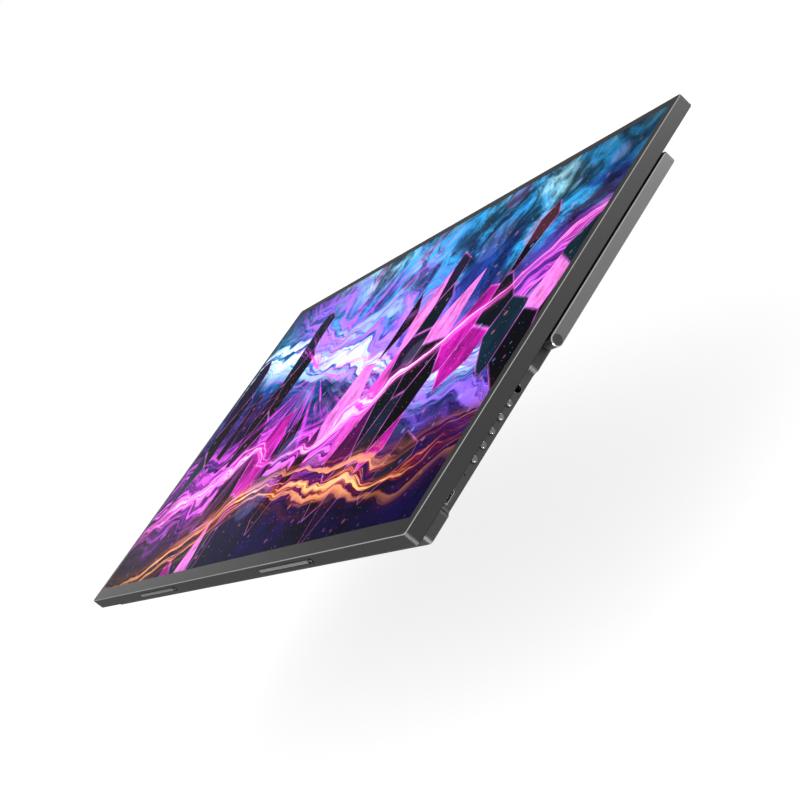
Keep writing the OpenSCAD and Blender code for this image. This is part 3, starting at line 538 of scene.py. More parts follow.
    def lay_crystals(self, sheet: NodeSheet, plane: Socket, picture: Socket) -> Socket:
        """Lays whole sharp-edged crystals over part of the picture.

        Args:
            sheet: The material being built.
            plane: Coordinates in the picture's plane.
            picture: What lies behind them.

        Returns:
            The picture with the crystals.
        """
        skew = sheet.stretch(plane, (1.0, self.crystal_squash, 1.0), self.crystal_lean)
        cells = sheet.cells(skew, self.crystal_scale)
        edge = sheet.cells(skew, self.crystal_scale, feature="DISTANCE_TO_EDGE")["Distance"]
        pick, light, _ = sheet.split(cells["Color"])
        home = sheet.stretch(cells["Position"], (1.0, 1.0, 1.0), -self.crystal_lean)
        _, home_y, _ = sheet.split(home)
        rise = sheet.times(home_y, 1.0 / (self.crystal_squash * self.units[1]))
        field = sheet.noise(home, 0.3, 2.0, 0.5)
        field = sheet.line(sheet.math("ABSOLUTE", sheet.minus(rise, 0.4)), -0.34, field)
        mask = sheet.math("GREATER_THAN", sheet.line(pick, 0.12, field), 0.49)
        face = sheet.ramp(light, self.crystal, smooth=False)
        face = sheet.mix(sheet.level(edge, 0.0, 0.05, 0.7, 0.0), face, tone(236, 120, 240))
        shade = sheet.level(sheet.noise(skew, 3.0, 5.0, 0.7), 0.3, 0.7, 0.45, 1.0)
        face = sheet.mix(sheet.minus(1.0, shade), face, tone(3, 4, 14))
        return sheet.mix(mask, picture, face)

    def paint(self, sheet: NodeSheet) -> None:
        """Lays the picture's layers over one another and lights them."""
        x, y, _ = sheet.split(sheet.place())
        across = sheet.line(x, 1.0 / self.width, 0.5)
        up = sheet.line(y, 1.0 / self.height, 0.5)
        plane = sheet.join(sheet.times(across, self.units[0]), sheet.times(up, self.units[1]))
        where = (across, up, sheet.minus(sheet.noise(plane, 0.22, 4.0, 0.5), 0.5))
        haze = sheet.noise(plane, 0.35, 6.0, 0.6, 0.8)
        picture = sheet.ramp(sheet.line(up, 0.42, sheet.times(haze, 0.62)), self.ground)
        cloud = sheet.level(sheet.noise(plane, 0.8, 8.0, 0.68, 1.2), 0.36, 0.62, 0.18, 1.0)
        picture = sheet.mix(sheet.minus(1.0, cloud), picture, tone(5, 5, 24))
        for shape in self.low_bands:
            picture = self.lay_band(sheet, where, picture, shape)
        picture = self.lay_crystals(sheet, plane, picture)
        for shape in self.top_bands:
            picture = self.lay_band(sheet, where, picture, shape)
        picture = sheet.mix(self.rays(sheet, across, up), picture, self.ray_colour)
        for shape in self.spots:
            picture = self.lay_spots(sheet, plane, picture, shape)
        away = sheet.length(sheet.minus(across, 0.5), sheet.minus(up, 0.5))
        picture = sheet.mix(sheet.level(away, 0.4, 0.8, 0.0, 0.75), picture, tone(4, 4, 16))
        red, green, blue = sheet.split(picture)
        peak = sheet.math("MAXIMUM", sheet.math("MAXIMUM", red, green), blue)
        gain = sheet.level(peak, self.dark, self.bright, self.dark_gain, self.bright_gain)
        picture = sheet.mix(1.0, picture, sheet.join(gain, gain, gain), "MULTIPLY")
        sheet.set("Base Color", sheet.mix(0.92, picture, (0.0, 0.0, 0.0)))
        sheet.set("Emission Color", picture)
        sheet.set("Emission Strength", 1.0)
        sheet.set("Roughness", sheet.level(haze, 0.3, 0.7, 0.3, 0.36))
        sheet.set("IOR", 1.03)
        sheet.set("Specular IOR Level", 0.2)


# The slab keeps the low default back cut share, a painted shadow line along its back edges.
SLAB_METAL = BlastedMetal("slab_metal", (0.036, 0.036, 0.036), (0.40, 0.40, 0.395))
STAND_METAL = BlastedMetal("stand_metal", (0.091, 0.091, 0.091), (0.40, 0.40, 0.395), side_cuts=True,
                           low_cuts=1.0)
HOUSING_METAL = BlastedMetal("housing_metal", (0.050, 0.050, 0.049), (0.30, 0.30, 0.30), 0.85, 0.38,
                             low_cuts=1.0)
INLAY_BLACK = MouldedPlastic("inlay_black", (0.006, 0.006, 0.007), 0.42)
CAP_BLACK = MouldedPlastic("cap_black", (0.018, 0.018, 0.019), 0.4, gloss=0.25)
CHIP_BLACK = MouldedPlastic("chip_black", (0.014, 0.014, 0.015), 0.5)
SPEAKER_BLACK = MouldedPlastic("speaker_black", (0.016, 0.016, 0.016), 0.6)
GRILLE_BLACK = MouldedPlastic("grille_black", (0.014, 0.014, 0.015), 0.38, metallic=0.5)
SCREW_BLACK = MouldedPlastic("screw_black", (0.003, 0.003, 0.003), 0.4, grain_depth=0.000004, gloss=0.03)
FOOT_RUBBER = MouldedPlastic("foot_rubber", (0.075, 0.075, 0.075), 0.5, grain=900.0)
LED_WHITE = MouldedPlastic("led_white", (0.62, 0.57, 0.30), 0.4)
LIGHT_PIPE = MouldedPlastic("light_pipe", (0.03, 0.032, 0.03), 0.25)
PANEL_DARK = MouldedPlastic("panel_dark", (0.010, 0.010, 0.013), 0.2)
LEAD_RED = MouldedPlastic("lead_red", (0.22, 0.012, 0.012), 0.45)
PRINT_WHITE = MouldedPlastic("print_white", (0.52, 0.52, 0.53), 0.6)
PORT_STEEL = PlatedMetal("port_steel", (0.42, 0.43, 0.44), 0.28)
RIM_STEEL = PlatedMetal("rim_steel", (0.34, 0.34, 0.345), 0.24)
RIM_DARK = PlatedMetal("rim_dark", (0.10, 0.10, 0.102), 0.3)
BUTTON_STEEL = PlatedMetal("button_steel", (0.15, 0.15, 0.15), 0.26, (6000.0, 200.0, 200.0))
SCREW_STEEL = PlatedMetal("screw_steel", (0.44, 0.44, 0.45), 0.3)
INSERT_STEEL = PlatedMetal("insert_steel", (0.20, 0.20, 0.205), 0.34)
BRACKET_STEEL = PlatedMetal("bracket_steel", (0.28, 0.28, 0.29), 0.36)
TRAY_METAL = PlatedMetal("tray_metal", (0.38, 0.39, 0.40), 0.4, (2500.0, 60.0, 60.0))
CONTACT_GOLD = PlatedMetal("contact_gold", (0.72, 0.50, 0.20), 0.28)
BOARD_GREEN = CircuitBoard("board_green")
CABLE_AMBER = Ribbon("cable_amber", (0.40, 0.16, 0.03), (0.26, 0.09, 0.02))
CABLE_CROSS = Ribbon("cable_cross", (0.40, 0.16, 0.03), (0.26, 0.09, 0.02), along_x=False)
FILM_WHITE = ClearSheet("film_white", (0.78, 0.79, 0.80), (0.70, 0.72, 0.74), 0.5)
GUIDE_CLEAR = ClearSheet("guide_clear", (0.62, 0.70, 0.73), (0.80, 0.84, 0.86), 0.12)


def put_in_scene(name: str, data: bpy.types.ID) -> bpy.types.Object:
    """Puts a new object with this data into the scene."""
    holder = bpy.data.objects.new(name, data)
    bpy.context.scene.collection.objects.link(holder)
    return holder


def mesh_data(name: str, mesh: BMesh) -> bpy.types.Mesh:
    """Turns a bmesh into mesh data and frees it."""
    data = bpy.data.meshes.new(name)
    mesh.to_mesh(data)
    mesh.free()
    return data


class Workshop:
    """Keeps each finish's material and puts finished pieces into the scene."""

    def __init__(self) -> None:
        """Starts with no materials made."""
        self.materials: dict[str, bpy.types.Material] = {}

    def material(self, finish: Finish) -> bpy.types.Material:
        """A finish's material, made once."""
        if finish.name not in self.materials:
            self.materials[finish.name] = finish.material()
        return self.materials[finish.name]

    def dress(self, finish: Finish, *nodes: str) -> None:
        """Gives CAD nodes their finish."""
        for node in nodes:
            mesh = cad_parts[node].data
            mesh.materials.clear()
            mesh.materials.append(self.material(finish))
            LOG.info("dressed %s with %s", node, finish.name)

    def finish_piece(self, mesh: BMesh, name: str, body: str, slot: str, finish: Finish,
                     smooth: bool = True, replaces: Sequence[str] = ()) -> None:
        """Turns a bmesh into a piece of the model.

        Args:
            mesh: The shape, in metres in the row frame.
            name: The piece's name.
            body: The CAD body that it rides on.
            slot: The record's material slot; not used.
            finish: One of the finishes above.
            smooth: Whether its gentle angles are shaded smooth.
            replaces: CAD nodes that it stands for.

        Raises:
            ValueError: If the shape has no faces.
        """
        if not mesh.faces:
            raise ValueError(f"{name} has no faces")
        bmesh.ops.remove_doubles(mesh, verts=mesh.verts, dist=SAME_POINT)
        bmesh.ops.recalc_face_normals(mesh, faces=mesh.faces)
        for edge in mesh.edges:
            edge.smooth = len(edge.link_faces) == 2 and edge.calc_face_angle(math.pi) < GENTLE_ANGLE
        for face in mesh.faces:
            face.smooth = smooth
        data = mesh_data(name, mesh)
        data.materials.append(self.material(finish))
        piece = put_in_scene(name, data)
        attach(piece, body)
        if replaces:
            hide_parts(*replaces)
        LOG.info("built %s: %d faces on %s", name, len(data.polygons), body)


def rounded_face(mesh: BMesh, width: float, height: float, radius: float,
                 segments: int = 8) -> bmesh.types.BMFace:
    """A flat rounded rectangle in the XY plane.

    Args:
        mesh: The bmesh that it is added to.
        width: Its size in X.
        height: Its size in Y.
        radius: Its corner radius.
        segments: Edges in each corner.

    Returns:
        The face.
    """
    made = bmesh.ops.create_grid(mesh, x_segments=1, y_segments=1, size=0.5)
    bmesh.ops.scale(mesh, vec=(width, height, 1.0), verts=made["verts"])
    bmesh.ops.bevel(mesh, geom=made["verts"], offset=radius, offset_type="OFFSET", segments=segments,
                    profile=0.5, affect="VERTICES", material=-1)
    bmesh.ops.remove_doubles(mesh, verts=mesh.verts, dist=1e-8)
    return max(mesh.faces, key=lambda face: face.calc_area())


def raise_face(mesh: BMesh, faces: Sequence[bmesh.types.BMFace], rise: float) -> None:
    """Extrudes faces by a distance along Z."""
    made = bmesh.ops.extrude_face_region(mesh, geom=list(faces), use_keep_orig=True)
    verts = [item for item in made["geom"] if isinstance(item, bmesh.types.BMVert)]
    bmesh.ops.translate(mesh, vec=(0.0, 0.0, rise), verts=verts)


def rounded_plate(mesh: BMesh, width: float, height: float, radius: float, segments: int,
                  rise: float) -> None:
    """Raises a rounded rectangle from the XY plane, with the numbers of rounded_face."""
    raise_face(mesh, [rounded_face(mesh, width, height, radius, segments)], rise)


def soften_edges(mesh: BMesh, choose: Callable[[bmesh.types.BMEdge], bool], radius: float,
                 segments: int = 3) -> None:
    """Rounds the edges that a test picks.

    Args:
        mesh: The bmesh.
        choose: Says whether an edge is rounded.
        radius: The rounding's radius.
        segments: Faces across the rounding.
    """
    edges = [edge for edge in mesh.edges if choose(edge)]
    bmesh.ops.bevel(mesh, geom=edges, offset=radius, offset_type="OFFSET", segments=segments,
                    profile=0.5, affect="EDGES", material=-1)


def turned(mesh: BMesh, outline: Sequence[tuple[float, float]], steps: int = FINE_TURN) -> None:
    """Turns an outline of radius and height about Z, as on a lathe.

    Args:
        mesh: The bmesh that the shape is added to.
        outline: Closed outline, or one that starts and ends on the axis.
        steps: Faces round the turn.
    """
    verts = [mesh.verts.new((radius, 0.0, height)) for radius, height in outline]
    pairs = list(zip(verts, verts[1:]))
    if outline[0][0] > 0.0 or outline[-1][0] > 0.0:
        pairs.append((verts[-1], verts[0]))
    edges = [mesh.edges.new(pair) for pair in pairs]
    bmesh.ops.spin(mesh, geom=verts + edges, cent=(0.0, 0.0, 0.0), axis=(0.0, 0.0, 1.0),
                   angle=2.0 * math.pi, steps=steps, use_merge=True)
    bmesh.ops.remove_doubles(mesh, verts=mesh.verts, dist=1e-7)


def facing(direction: Point, up: Point, place: Point) -> Matrix:
    """The transform that turns +Z to a direction and +Y to up, at a place."""
    z = Vector(direction).normalized()
    y = Vector(up).normalized()
    turn = Matrix((y.cross(z), y, z)).transposed().to_4x4()
    return Matrix.Translation(place) @ turn


def settle(mesh: BMesh, matrix: Matrix) -> BMesh:
    """Moves a whole bmesh by a transform and returns it."""
    bmesh.ops.transform(mesh, matrix=matrix, verts=mesh.verts)
    return mesh


def add_part(target: BMesh, move: Matrix, shape: Callable[..., None], *values: object) -> None:
    """Adds a shape to a bmesh, built by itself and then moved.

    Args:
        target: The bmesh that it is added to.
        move: The transform from the shape's own place.
        shape: One of the shapes above.
        *values: The shape's own numbers.
    """
    part = bmesh.new()
    shape(part, *values)
    store = mesh_data("part", settle(part, move))
    target.from_mesh(store)
    bpy.data.meshes.remove(store)


def middle(node: str) -> Vector:
    """The middle of a CAD node's box."""
    low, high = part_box(node)
    return (low + high) / 2.0


@dataclass
class DisplaySlab:
    """The slab: frame, picture, back cover and what is inside it."""

    shop: Workshop

    def build(self) -> None:
        """Dresses the slab's nodes."""
        low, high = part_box("cover_glass")
        dress = self.shop.dress
        dress(LitPicture("lit_picture", high.x - low.x, high.y - low.y), "cover_glass")
        dress(SLAB_METAL, "front_bezel", "back_cover")
        dress(INLAY_BLACK, "rear_inlay")
        dress(PANEL_DARK, "lcd_cell")
        dress(FILM_WHITE, "optical_films", "reflector_sheet")
        dress(GUIDE_CLEAR, "light_guide")
        dress(LED_WHITE, "led_strip")
        dress(TRAY_METAL, "panel_tray")
        dress(BOARD_GREEN, "timing_board")
        dress(CABLE_AMBER, "panel_cable")
        dress(CABLE_CROSS, "backlight_cable")


@dataclass
class FootStrips:
    """The two soft strips in the slab's bottom edge and the round-headed screws beside them."""

    shop: Workshop
    rounding: float = 0.4 * MM
    end_share: float = 0.49
    strip_rise: float = 0.4 * MM
    head_radius: float = 1.7 * MM
    head_rise: float = 0.3 * MM
    head_below: float = 0.95 * MM
    crown_angles: tuple[float, ...] = (28, 38, 48, 58, 68, 78, 90)
    crown_power: float = 2.6
    recess_radius: float = 0.66 * MM
    recess_mouth: float = 0.74 * MM
    recess_depth: float = 0.5 * MM
    shank_radius: float = 0.62 * MM
    pin_radius: float = 0.56 * MM
    pin_below: float = 0.55 * MM
    pin_rise: float = 0.25 * MM
    pin_steps: tuple[tuple[float, float], ...] = ((0.0, 1.0), (0.4, 0.92), (0.8, 0.68), (1.0, 0.2))

    def build(self) -> None:
        """Builds a strip with round ends in the place of each plain one, and the screws."""
        for side in SIDES:
            name = f"foot_strip_{side}"
            low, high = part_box(name)
            mesh = bmesh.new()
            height = high.z - low.z
            depth = high.y - low.y
            rounded_plate(mesh, high.x - low.x, height, self.end_share * height, 8, depth)
            soften_edges(mesh, lambda edge: all(v.co.z > depth - 1e-6 for v in edge.verts), self.rounding)
            place = ((low.x + high.x) / 2.0, high.y, (low.z + high.z) / 2.0)
            settle(mesh, facing((0, -1, 0), (0, 0, 1), place))
            self.shop.finish_piece(mesh, f"{name}_soft", DISPLAY, "foot_rubber", FOOT_RUBBER, replaces=[name])
        self.screws()

    def screws(self) -> None:
        """Builds the two round-headed screws, each with a light metal pin in its driver recess, which is a
        painted glint on the black head.
        """
        low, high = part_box("foot_screws")
        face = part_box("foot_strip_left")[0].y + self.strip_rise
        depth = high.y - face
        r = self.head_radius
        sines = [math.sin(math.radians(angle)) for angle in self.crown_angles]
        crown = [(r * sine, self.head_rise * (1.0 - sine ** self.crown_power)) for sine in sines]
        head = [(0.0, -self.recess_depth), (self.recess_radius, -self.recess_depth),
                (self.recess_mouth, crown[0][1] - 0.05 * MM), *crown, (r, -self.head_below),
                (self.shank_radius, -self.head_below), (self.shank_radius, -depth), (0.0, -depth)]
        tip = [(share * self.pin_radius, rise * self.pin_rise) for share, rise in self.pin_steps]
        pin = [*tip, (self.pin_radius, -self.pin_below), (0.0, -self.pin_below)]
        heads, glint_pins = bmesh.new(), bmesh.new()
        for x in (low.x + r, high.x - r):
            move = facing((0, -1, 0), (0, 0, 1), (x, face, (low.z + high.z) / 2.0))
            add_part(heads, move, turned, head, COARSE_TURN)
            add_part(glint_pins, move, turned, pin, COARSE_TURN)
        self.shop.finish_piece(heads, "foot_screws_domed", DISPLAY, "screw_black", SCREW_BLACK,
                               replaces=["foot_screws"])
        # The pins' light metal is a painted glint in the middle of each black head.
        self.shop.finish_piece(glint_pins, "foot_screw_glint_pins", DISPLAY, "screw_steel", RIM_STEEL)


@dataclass
class RearHousing:
    """The shallow housing on the slab's back, with its boards, mounts, grilles and print."""

    shop: Workshop
    insert_radius: float = 2.65 * MM
    insert_bore: float = 2.0 * MM
    thread_pitch: float = 0.7 * MM
    thread_depth: float = 0.28 * MM
    print_height: float = 2.6 * MM
    print_rise: float = 0.012 * MM
    number_inset: float = 4.2 * MM
    mark_inset: float = 5.0 * MM

    def build(self) -> None:
        """Dresses the housing's nodes and adds its threads and print."""
        dress = self.shop.dress
        dress(HOUSING_METAL, "rear_housing")
        dress(INSERT_STEEL, "vesa_inserts")
        dress(SCREW_STEEL, "housing_screws", "board_screws", "bracket_screws")
        dress(BOARD_GREEN, "main_board", "control_board")
        dress(CHIP_BLACK, "scaler_chip", "board_components", "tact_switches", "headphone_jack")
        dress(LIGHT_PIPE, "status_light")
        dress(CABLE_AMBER, "control_cable")
        dress(LEAD_RED, "speaker_cables")
        for side in SIDES:
            dress(SPEAKER_BLACK, f"speaker_{side}")
            dress(GRILLE_BLACK, f"speaker_grille_{side}")
            dress(BRACKET_STEEL, f"hinge_bracket_{side}")
        self.threads()
        self.print_numbers()
        self.print_marks()

    def threads(self) -> None:
        """Adds the turned threads inside the four mounting inserts."""
        low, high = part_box("vesa_inserts")
        bore, pitch, radius = self.insert_bore, self.thread_pitch, self.insert_radius
        turns = int((high.z - low.z) / pitch) - 1
        mesh = bmesh.new()
        for x in (low.x + radius, high.x - radius):
            for y in (low.y + radius, high.y - radius):
                for turn in range(turns):
                    base = low.z + (0.6 + turn) * pitch
                    ridge = ((bore, base), (bore - self.thread_depth, base + 0.35 * pitch),
                             (bore, base + 0.7 * pitch))
                    add_part(mesh, Matrix.Translation((x, y, 0.0)), turned, ridge, COARSE_TURN)
        self.shop.finish_piece(mesh, "insert_threads", DISPLAY, "insert_steel", INSERT_STEEL)

    def print_marks(self) -> None:
        """Prints plain marks beside the controls: a ring, a cross, a bar and a patch."""
        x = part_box("rear_housing")[1].x - self.mark_inset
        mesh = bmesh.new()
        inner, outer, top = 0.55 * MM, 0.8 * MM, -self.print_rise
        ring = (turned, ((inner, 0.0), (outer, 0.0), (outer, top), (inner, top)), MARK_TURN)
        bar = (rounded_plate, 1.5 * MM, 0.26 * MM, 0.05 * MM, 2, top)
        patch = (rounded_plate, 1.0 * MM, 1.7 * MM, 0.2 * MM, 3, top)
        marks = (("button_3", ring, 0.0), ("button_5", bar, 0.0), ("button_5", bar, math.pi / 2.0),
                 ("button_4", bar, 0.0), ("data_port", patch, 0.0))
        for node, mark, turn in marks:
            move = Matrix.Translation((x, middle(node).y, 0.0)) @ Matrix.Rotation(turn, 4, "Z")
            add_part(mesh, move, *mark)
        self.shop.finish_piece(mesh, "control_marks", DISPLAY, "light_white", PRINT_WHITE, smooth=False)

    def print_numbers(self) -> None:
        """Prints a plain number beside each wide socket, on the housing's back."""
        for number, node in enumerate(("video_port", "usb_port_low", "usb_port_high"), 1):
            curve = bpy.data.curves.new("number", "FONT")
            curve.body = str(number)
            curve.size = self.print_height
            curve.align_x = curve.align_y = "CENTER"
            curve.extrude = self.print_rise / 2.0
            holder = put_in_scene("number", curve)
            bpy.context.view_layer.update()
            final = holder.evaluated_get(bpy.context.evaluated_depsgraph_get())
            shape = bpy.data.meshes.new_from_object(final)
            bpy.data.objects.remove(holder)
            bpy.data.curves.remove(curve)
            mesh = bmesh.new()
            mesh.from_mesh(shape)
            bpy.data.meshes.remove(shape)
            place = (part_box(node)[0].x + self.number_inset, middle(node).y, -self.print_rise / 2.0)
            settle(mesh, facing((0, 0, -1), (1, 0, 0), place))
            self.shop.finish_piece(mesh, f"number_{number}", DISPLAY, "light_white", PRINT_WHITE,
                                   smooth=False)


@dataclass
class SideSocket:
    """One socket's rim and contacts."""

    shop: Workshop
    node: str
    side: Side
    mouth_radius: float
    contacts: int
    edge: Finish = RIM_STEEL
    rim: float = 0.32 * MM
    gap: float = 0.12 * MM
    proud: float = 0.06 * MM
    sunk: float = 0.02 * MM
    softening: float = 0.03 * MM
    right_height: float = 2.4 * MM
    right_setback: float = 0.4 * MM
    left_contact: float = 2.9 * MM
    right_contact: float = 2.6 * MM
    row_share: float = 0.62
    contact_share: float = 0.448
    contact_length: float = 3.4 * MM
    contact_height: float = 0.07 * MM
    contact_bevel: float = 0.015 * MM
    tongue_half: float = 0.37 * MM

    def build(self) -> None:
        """Dresses the shell and adds a polished rim and the contacts on its tongue."""
        self.shop.dress(PORT_STEEL, self.node)
        low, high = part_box(self.node)
        if self.side is Side.LEFT:
            tall = high.z - low.z
            wall_x, contact_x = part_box("rear_housing")[0].x, low.x + self.left_contact
        else:
            tall = self.right_height
            wall_x, contact_x = high.x + self.right_setback, high.x - self.right_contact
        y = (low.y + high.y) / 2.0
        z = low.z + tall / 2.0
        self.add_rim(high.y - low.y, tall, (wall_x, y, z))
        self.add_contacts(high.y - low.y, (contact_x, y, z))

    def add_rim(self, wide: float, tall: float, place: Point) -> None:
        """Adds the rim that lies round the mouth.

        Args:
            wide: The mouth's width in Y.
            tall: The mouth's height in Z.
            place: The mouth's middle, on the housing's wall.
        """
        mesh = bmesh.new()
        margin = 2 * (self.rim + self.gap)
        face = rounded_face(mesh, wide + margin, tall + margin, self.mouth_radius + self.rim, 8)
        bmesh.ops.inset_region(mesh, faces=[face], thickness=self.rim, use_boundary=True,
                               use_even_offset=True)
        inner = max(mesh.faces, key=lambda item: item.calc_area())
        bmesh.ops.delete(mesh, geom=[inner], context="FACES")
        top = self.proud + self.sunk
        raise_face(mesh, list(mesh.faces), top)
        bmesh.ops.recalc_face_normals(mesh, faces=mesh.faces)
        soften_edges(mesh, lambda edge: all(v.co.z > top - 1e-7 for v in edge.verts)
                     and edge.calc_face_angle(0.0) > 0.5, self.softening, 2)
        base = (place[0] - self.side.value * self.sunk, place[1], place[2])
        settle(mesh, facing((self.side.value, 0, 0), (0, 0, 1), base))
        self.shop.finish_piece(mesh, f"{self.node}_rim", DISPLAY, "port_steel", self.edge)

    def add_contacts(self, wide: float, place: Point) -> None:
        """Adds the row of contacts on both faces of the tongue.

        Args:
            wide: The mouth's width in Y.
            place: The row's middle, in the middle of the tongue.
        """
        mesh = bmesh.new()
        row = self.row_share * wide
        size = (self.contact_length, self.contact_share * row / self.contacts, self.contact_height)
        for index in range(self.contacts):
            y = place[1] + row * (index / (self.contacts - 1) - 0.5)
            for face_side in (-1, 1):
                spot = (place[0], y, place[2] + face_side * self.tongue_half)
                add_part(mesh, Matrix.Translation(spot), self.contact, size)
        self.shop.finish_piece(mesh, f"{self.node}_contacts", DISPLAY, "port_steel", CONTACT_GOLD,
                               smooth=False)

    def contact(self, mesh: BMesh, size: Point) -> None:
        """Adds one contact with softened edges."""
        bmesh.ops.create_cube(mesh, size=1.0)
        bmesh.ops.scale(mesh, vec=size, verts=mesh.verts)
        soften_edges(mesh, lambda edge: True, self.contact_bevel, 1)


@dataclass
class Controls:
    """The buttons and the headphone socket's rim in the right side's bay."""

    shop: Workshop
    count: int = 5
    radius: float = 1.5 * MM
    proud: float = 0.8 * MM
    stem_radius: float = 0.9 * MM
    stem_length: float = 0.6 * MM
    crown_steps: tuple[tuple[float, float], ...] = (
        (0.0, 0.22), (0.04, 0.09), (0.14, 0.015), (0.26, 0.0), (0.38, 0.03), (0.55, 0.10), (1.05, 0.15))
    dish: float = 0.16 * MM
    collar_below: float = 1.8 * MM
    collar_depth: float = 0.6 * MM
    collar_corner: float = 0.3 * MM
    collar_rounding: float = 0.08 * MM
    jack_below: float = 2.05 * MM
    jack_bore: float = 1.85 * MM
    rim_width: float = 0.34 * MM
    rim_sunk: float = 0.2 * MM
    rim_proud: float = 0.08 * MM

    def build(self) -> None:
        """Builds the turned buttons and the socket's rim."""
        for number in range(1, self.count + 1):
            self.button(f"button_{number}", f"button_body_{number}")
        self.jack_rim()

    def button(self, node: str, body: str) -> None:
        """Builds one button with a dished, turned face and a rounded rim.

        Args:
            node: The CAD node that it stands for.
            body: The body that it rides on.
        """
        low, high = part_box(node)
        centre = (low.y + high.y) / 2.0
        length = high.x - low.x
        crown = [(self.radius - inwards * MM, length - down * MM) for inwards, down in self.crown_steps]
        outline = [(0.0, 0.0), (self.stem_radius, 0.0), (self.stem_radius, self.stem_length),
                   (self.radius, self.stem_length), *crown, (0.0, length - self.dish)]
        mesh = bmesh.new()
        foot = (low.x, centre, low.z + self.collar_below)
        add_part(mesh, facing((1, 0, 0), (0, 0, 1), foot), turned, outline)
        start = (low.x + self.stem_length, centre, (low.z + high.z) / 2.0)
        add_part(mesh, facing((1, 0, 0), (0, 0, 1), start), self.collar, high.y - low.y, high.z - low.z)
        self.shop.finish_piece(mesh, f"{node}_turned", body, "button_metal", BUTTON_STEEL, replaces=[node])

    def collar(self, mesh: BMesh, wide: float, tall: float) -> None:
        """Adds the rounded collar that keeps a button in its wall."""
        rounded_plate(mesh, wide, tall, self.collar_corner, 3, self.collar_depth)
        soften_edges(mesh, lambda edge: all(v.co.z > 0.9 * self.collar_depth for v in edge.verts),
                     self.collar_rounding, 2)

    def jack_rim(self) -> None:
        """Builds the turned ring round the headphone socket's mouth in the bay's wall."""
        bay_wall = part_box("button_1")[1].x - self.proud
        place = (bay_wall, middle("headphone_jack").y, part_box("headphone_jack")[0].z + self.jack_below)
        bore, top = self.jack_bore, self.rim_proud
        outer = bore + self.rim_width
        outline = ((bore, -self.rim_sunk), (outer, -self.rim_sunk), (outer, top - 0.05 * MM),
                   (outer - 0.06 * MM, top), (bore + 0.08 * MM, top), (bore, 0.0))
        mesh = bmesh.new()
        turned(mesh, outline)
        settle(mesh, facing((1, 0, 0), (0, 0, 1), place))
        self.shop.finish_piece(mesh, "headphone_jack_rim", DISPLAY, "port_steel", RIM_DARK)


@dataclass
class Kickstand:
    """The U-shaped stand with its shafts, nuts and caps."""

    shop: Workshop

    def build(self) -> None:
        """Dresses the stand's nodes."""
        self.shop.dress(STAND_METAL, "stand_frame")
        for side in SIDES:
            self.shop.dress(SCREW_STEEL, f"hinge_shaft_{side}", f"hinge_nut_{side}")
            self.shop.dress(CAP_BLACK, f"hinge_cap_{side}")


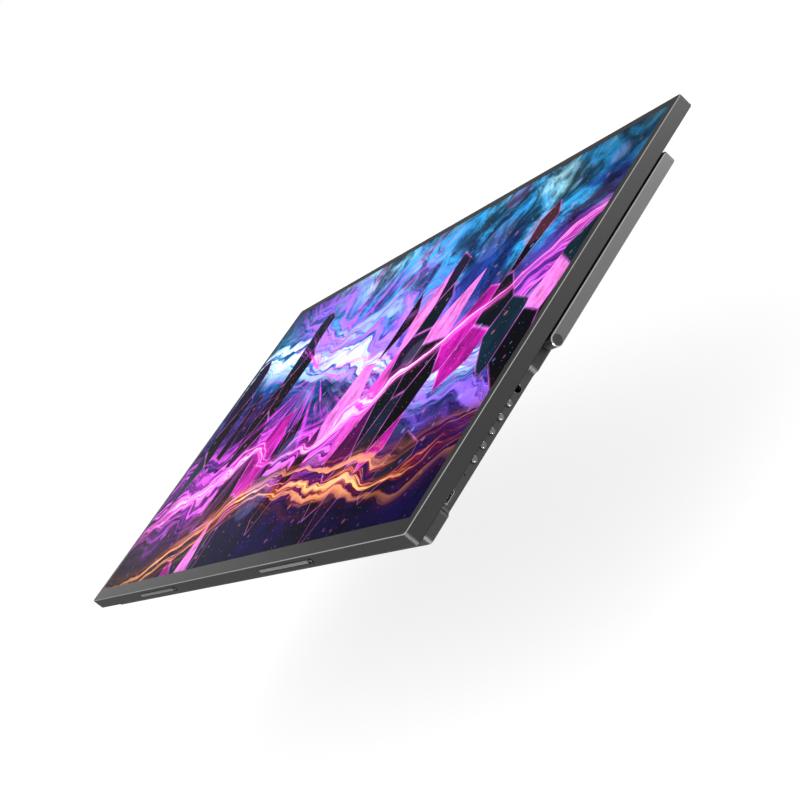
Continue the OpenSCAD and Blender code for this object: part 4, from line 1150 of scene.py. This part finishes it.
@dataclass
class Studio:
    """Camera, floor, world and lamps."""

    lens: float = 66.81
    sensor: float = 36.0
    near: float = 0.01
    far: float = 50.0
    place: tuple[float, float, float] = (0.69989, -0.31529, 0.18909)
    forward: tuple[float, float, float] = (-0.871797, 0.416762, -0.257448)
    upward: tuple[float, float, float] = (0.177525, 0.758608, 0.626897)
    floor_size: float = 40.0
    floor_colour: float = 0.4
    floor_glow: float = 0.72
    sky_low: float = 0.6
    sky_high: float = 1.05
    swing_margin: float = 6.0 * MM

    def camera(self) -> None:
        """Sets up the camera at the photograph's angle."""
        data = bpy.data.cameras.new("studio_camera")
        data.lens = self.lens
        data.sensor_width = self.sensor
        data.clip_start = self.near
        data.clip_end = self.far
        holder = put_in_scene("studio_camera", data)
        holder.matrix_world = facing([-part for part in self.forward], self.upward, self.place)
        bpy.context.scene.camera = holder

    def seen(self, tools: NodeTools) -> Socket:
        """Where a ray shows the background: seen straight, in a gloss or through something clear."""
        rays = tools.node("LightPath").outputs
        total = rays["Is Camera Ray"]
        for name in ("Is Glossy Ray", "Is Transmission Ray"):
            total = tools.math("MAXIMUM", total, rays[name])
        return total

    def floor_height(self) -> float:
        """The floor's height, just clear of the kickstand's whole swing, from its pivot and its reach."""
        pivot = middle("hinge_shaft_left")
        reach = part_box("stand_frame")[1].y - pivot.y
        return pivot.z - reach - self.swing_margin

    def floor(self) -> None:
        """Lays the plain floor, which shows white and keeps the shadow."""
        mesh = bmesh.new()
        bmesh.ops.create_grid(mesh, x_segments=1, y_segments=1, size=self.floor_size / 2.0)
        bmesh.ops.translate(mesh, vec=(0.0, 0.0, self.floor_height()), verts=mesh.verts)
        floor = put_in_scene("floor", mesh_data("floor", mesh))
        sheet = NodeSheet("floor_white")
        sheet.tree.nodes.remove(sheet.shader)
        matt = sheet.node("BsdfDiffuse", {"Color": (self.floor_colour,) * 3})
        glow = sheet.node("Emission", {"Strength": sheet.times(self.seen(sheet), self.floor_glow)})
        both = sheet.node("AddShader", {0: matt.outputs[0], 1: glow.outputs[0]})
        sheet.feed(sheet.output.inputs["Surface"], both.outputs[0])
        floor.data.materials.append(sheet.material)

    def world(self) -> None:
        """Makes the world white for the camera and softly lit for the object."""
        world = bpy.data.worlds.new("studio_world")
        bpy.context.scene.world = world
        world.use_nodes = True
        tools = NodeTools(world.node_tree)
        _, _, rise = tools.split(tools.place(Space.SKY))
        curve = tools.math("POWER", rise, 2.0)
        light = tools.level(curve, 0.0, 1.0, self.sky_low, self.sky_high, smooth=False)
        lit, white = (tools.node("Background", {"Color": (1.0, 1.0, 1.0), "Strength": strength})
                      for strength in (light, 1.0))
        both = tools.node("MixShader", {0: self.seen(tools), 1: lit.outputs[0], 2: white.outputs[0]})
        tools.node("OutputWorld", {"Surface": both.outputs[0]})

    def lamp(self, name: str, place: Point, aim: Point, size: tuple[float, float],
             power: float) -> None:
        """Hangs one soft lamp.

        Args:
            name: The lamp's name.
            place: Where it hangs.
            aim: The point that it faces.
            size: Its width and height.
            power: Its power in watts.
        """
        data = bpy.data.lights.new(name, "AREA")
        data.shape = "RECTANGLE"
        data.size, data.size_y = size
        data.energy = power
        holder = put_in_scene(name, data)
        away = (Vector(place) - Vector(aim)).normalized()
        side = Vector((0.0, 0.0, 1.0)).cross(away).normalized()
        holder.matrix_world = facing(away, away.cross(side), place)
        holder.visible_camera = False

    def build(self) -> None:
        """Builds the studio."""
        self.camera()
        self.floor()
        self.world()
        self.lamp("low_left", (-2.1, 0.40, 0.28), (-0.1, 0.0, 0.0), (0.45, 0.45), 1.8)
        self.lamp("far_right", (0.80, 0.85, -0.04), (0.21, 0.08, 0.0), (0.30, 0.08), 8.0)
        self.lamp("front", (0.56, -0.80, -0.06), (0.2, -0.12, 0.0), (0.36, 0.06), 2.0)
        self.lamp("near_corner", (0.296, -0.341, -0.066), (0.209, -0.121, 0.009), (0.48, 0.07), 1.3)
        bpy.context.scene.view_settings.view_transform = "Standard"


def main() -> None:
    """Builds the studio and every sub-assembly."""
    logging.basicConfig(level=logging.INFO, format="%(message)s")
    Studio().build()
    shop = Workshop()
    DisplaySlab(shop).build()
    FootStrips(shop).build()
    RearHousing(shop).build()
    SideSocket(shop, "video_port", Side.LEFT, 0.6 * MM, 9).build()
    SideSocket(shop, "usb_port_low", Side.LEFT, 1.2 * MM, 12).build()
    SideSocket(shop, "usb_port_high", Side.LEFT, 1.2 * MM, 12).build()
    SideSocket(shop, "data_port", Side.RIGHT, 0.5 * MM, 5, RIM_DARK).build()
    Controls(shop).build()
    Kickstand(shop).build()


if __name__ == "__main__":
    main()
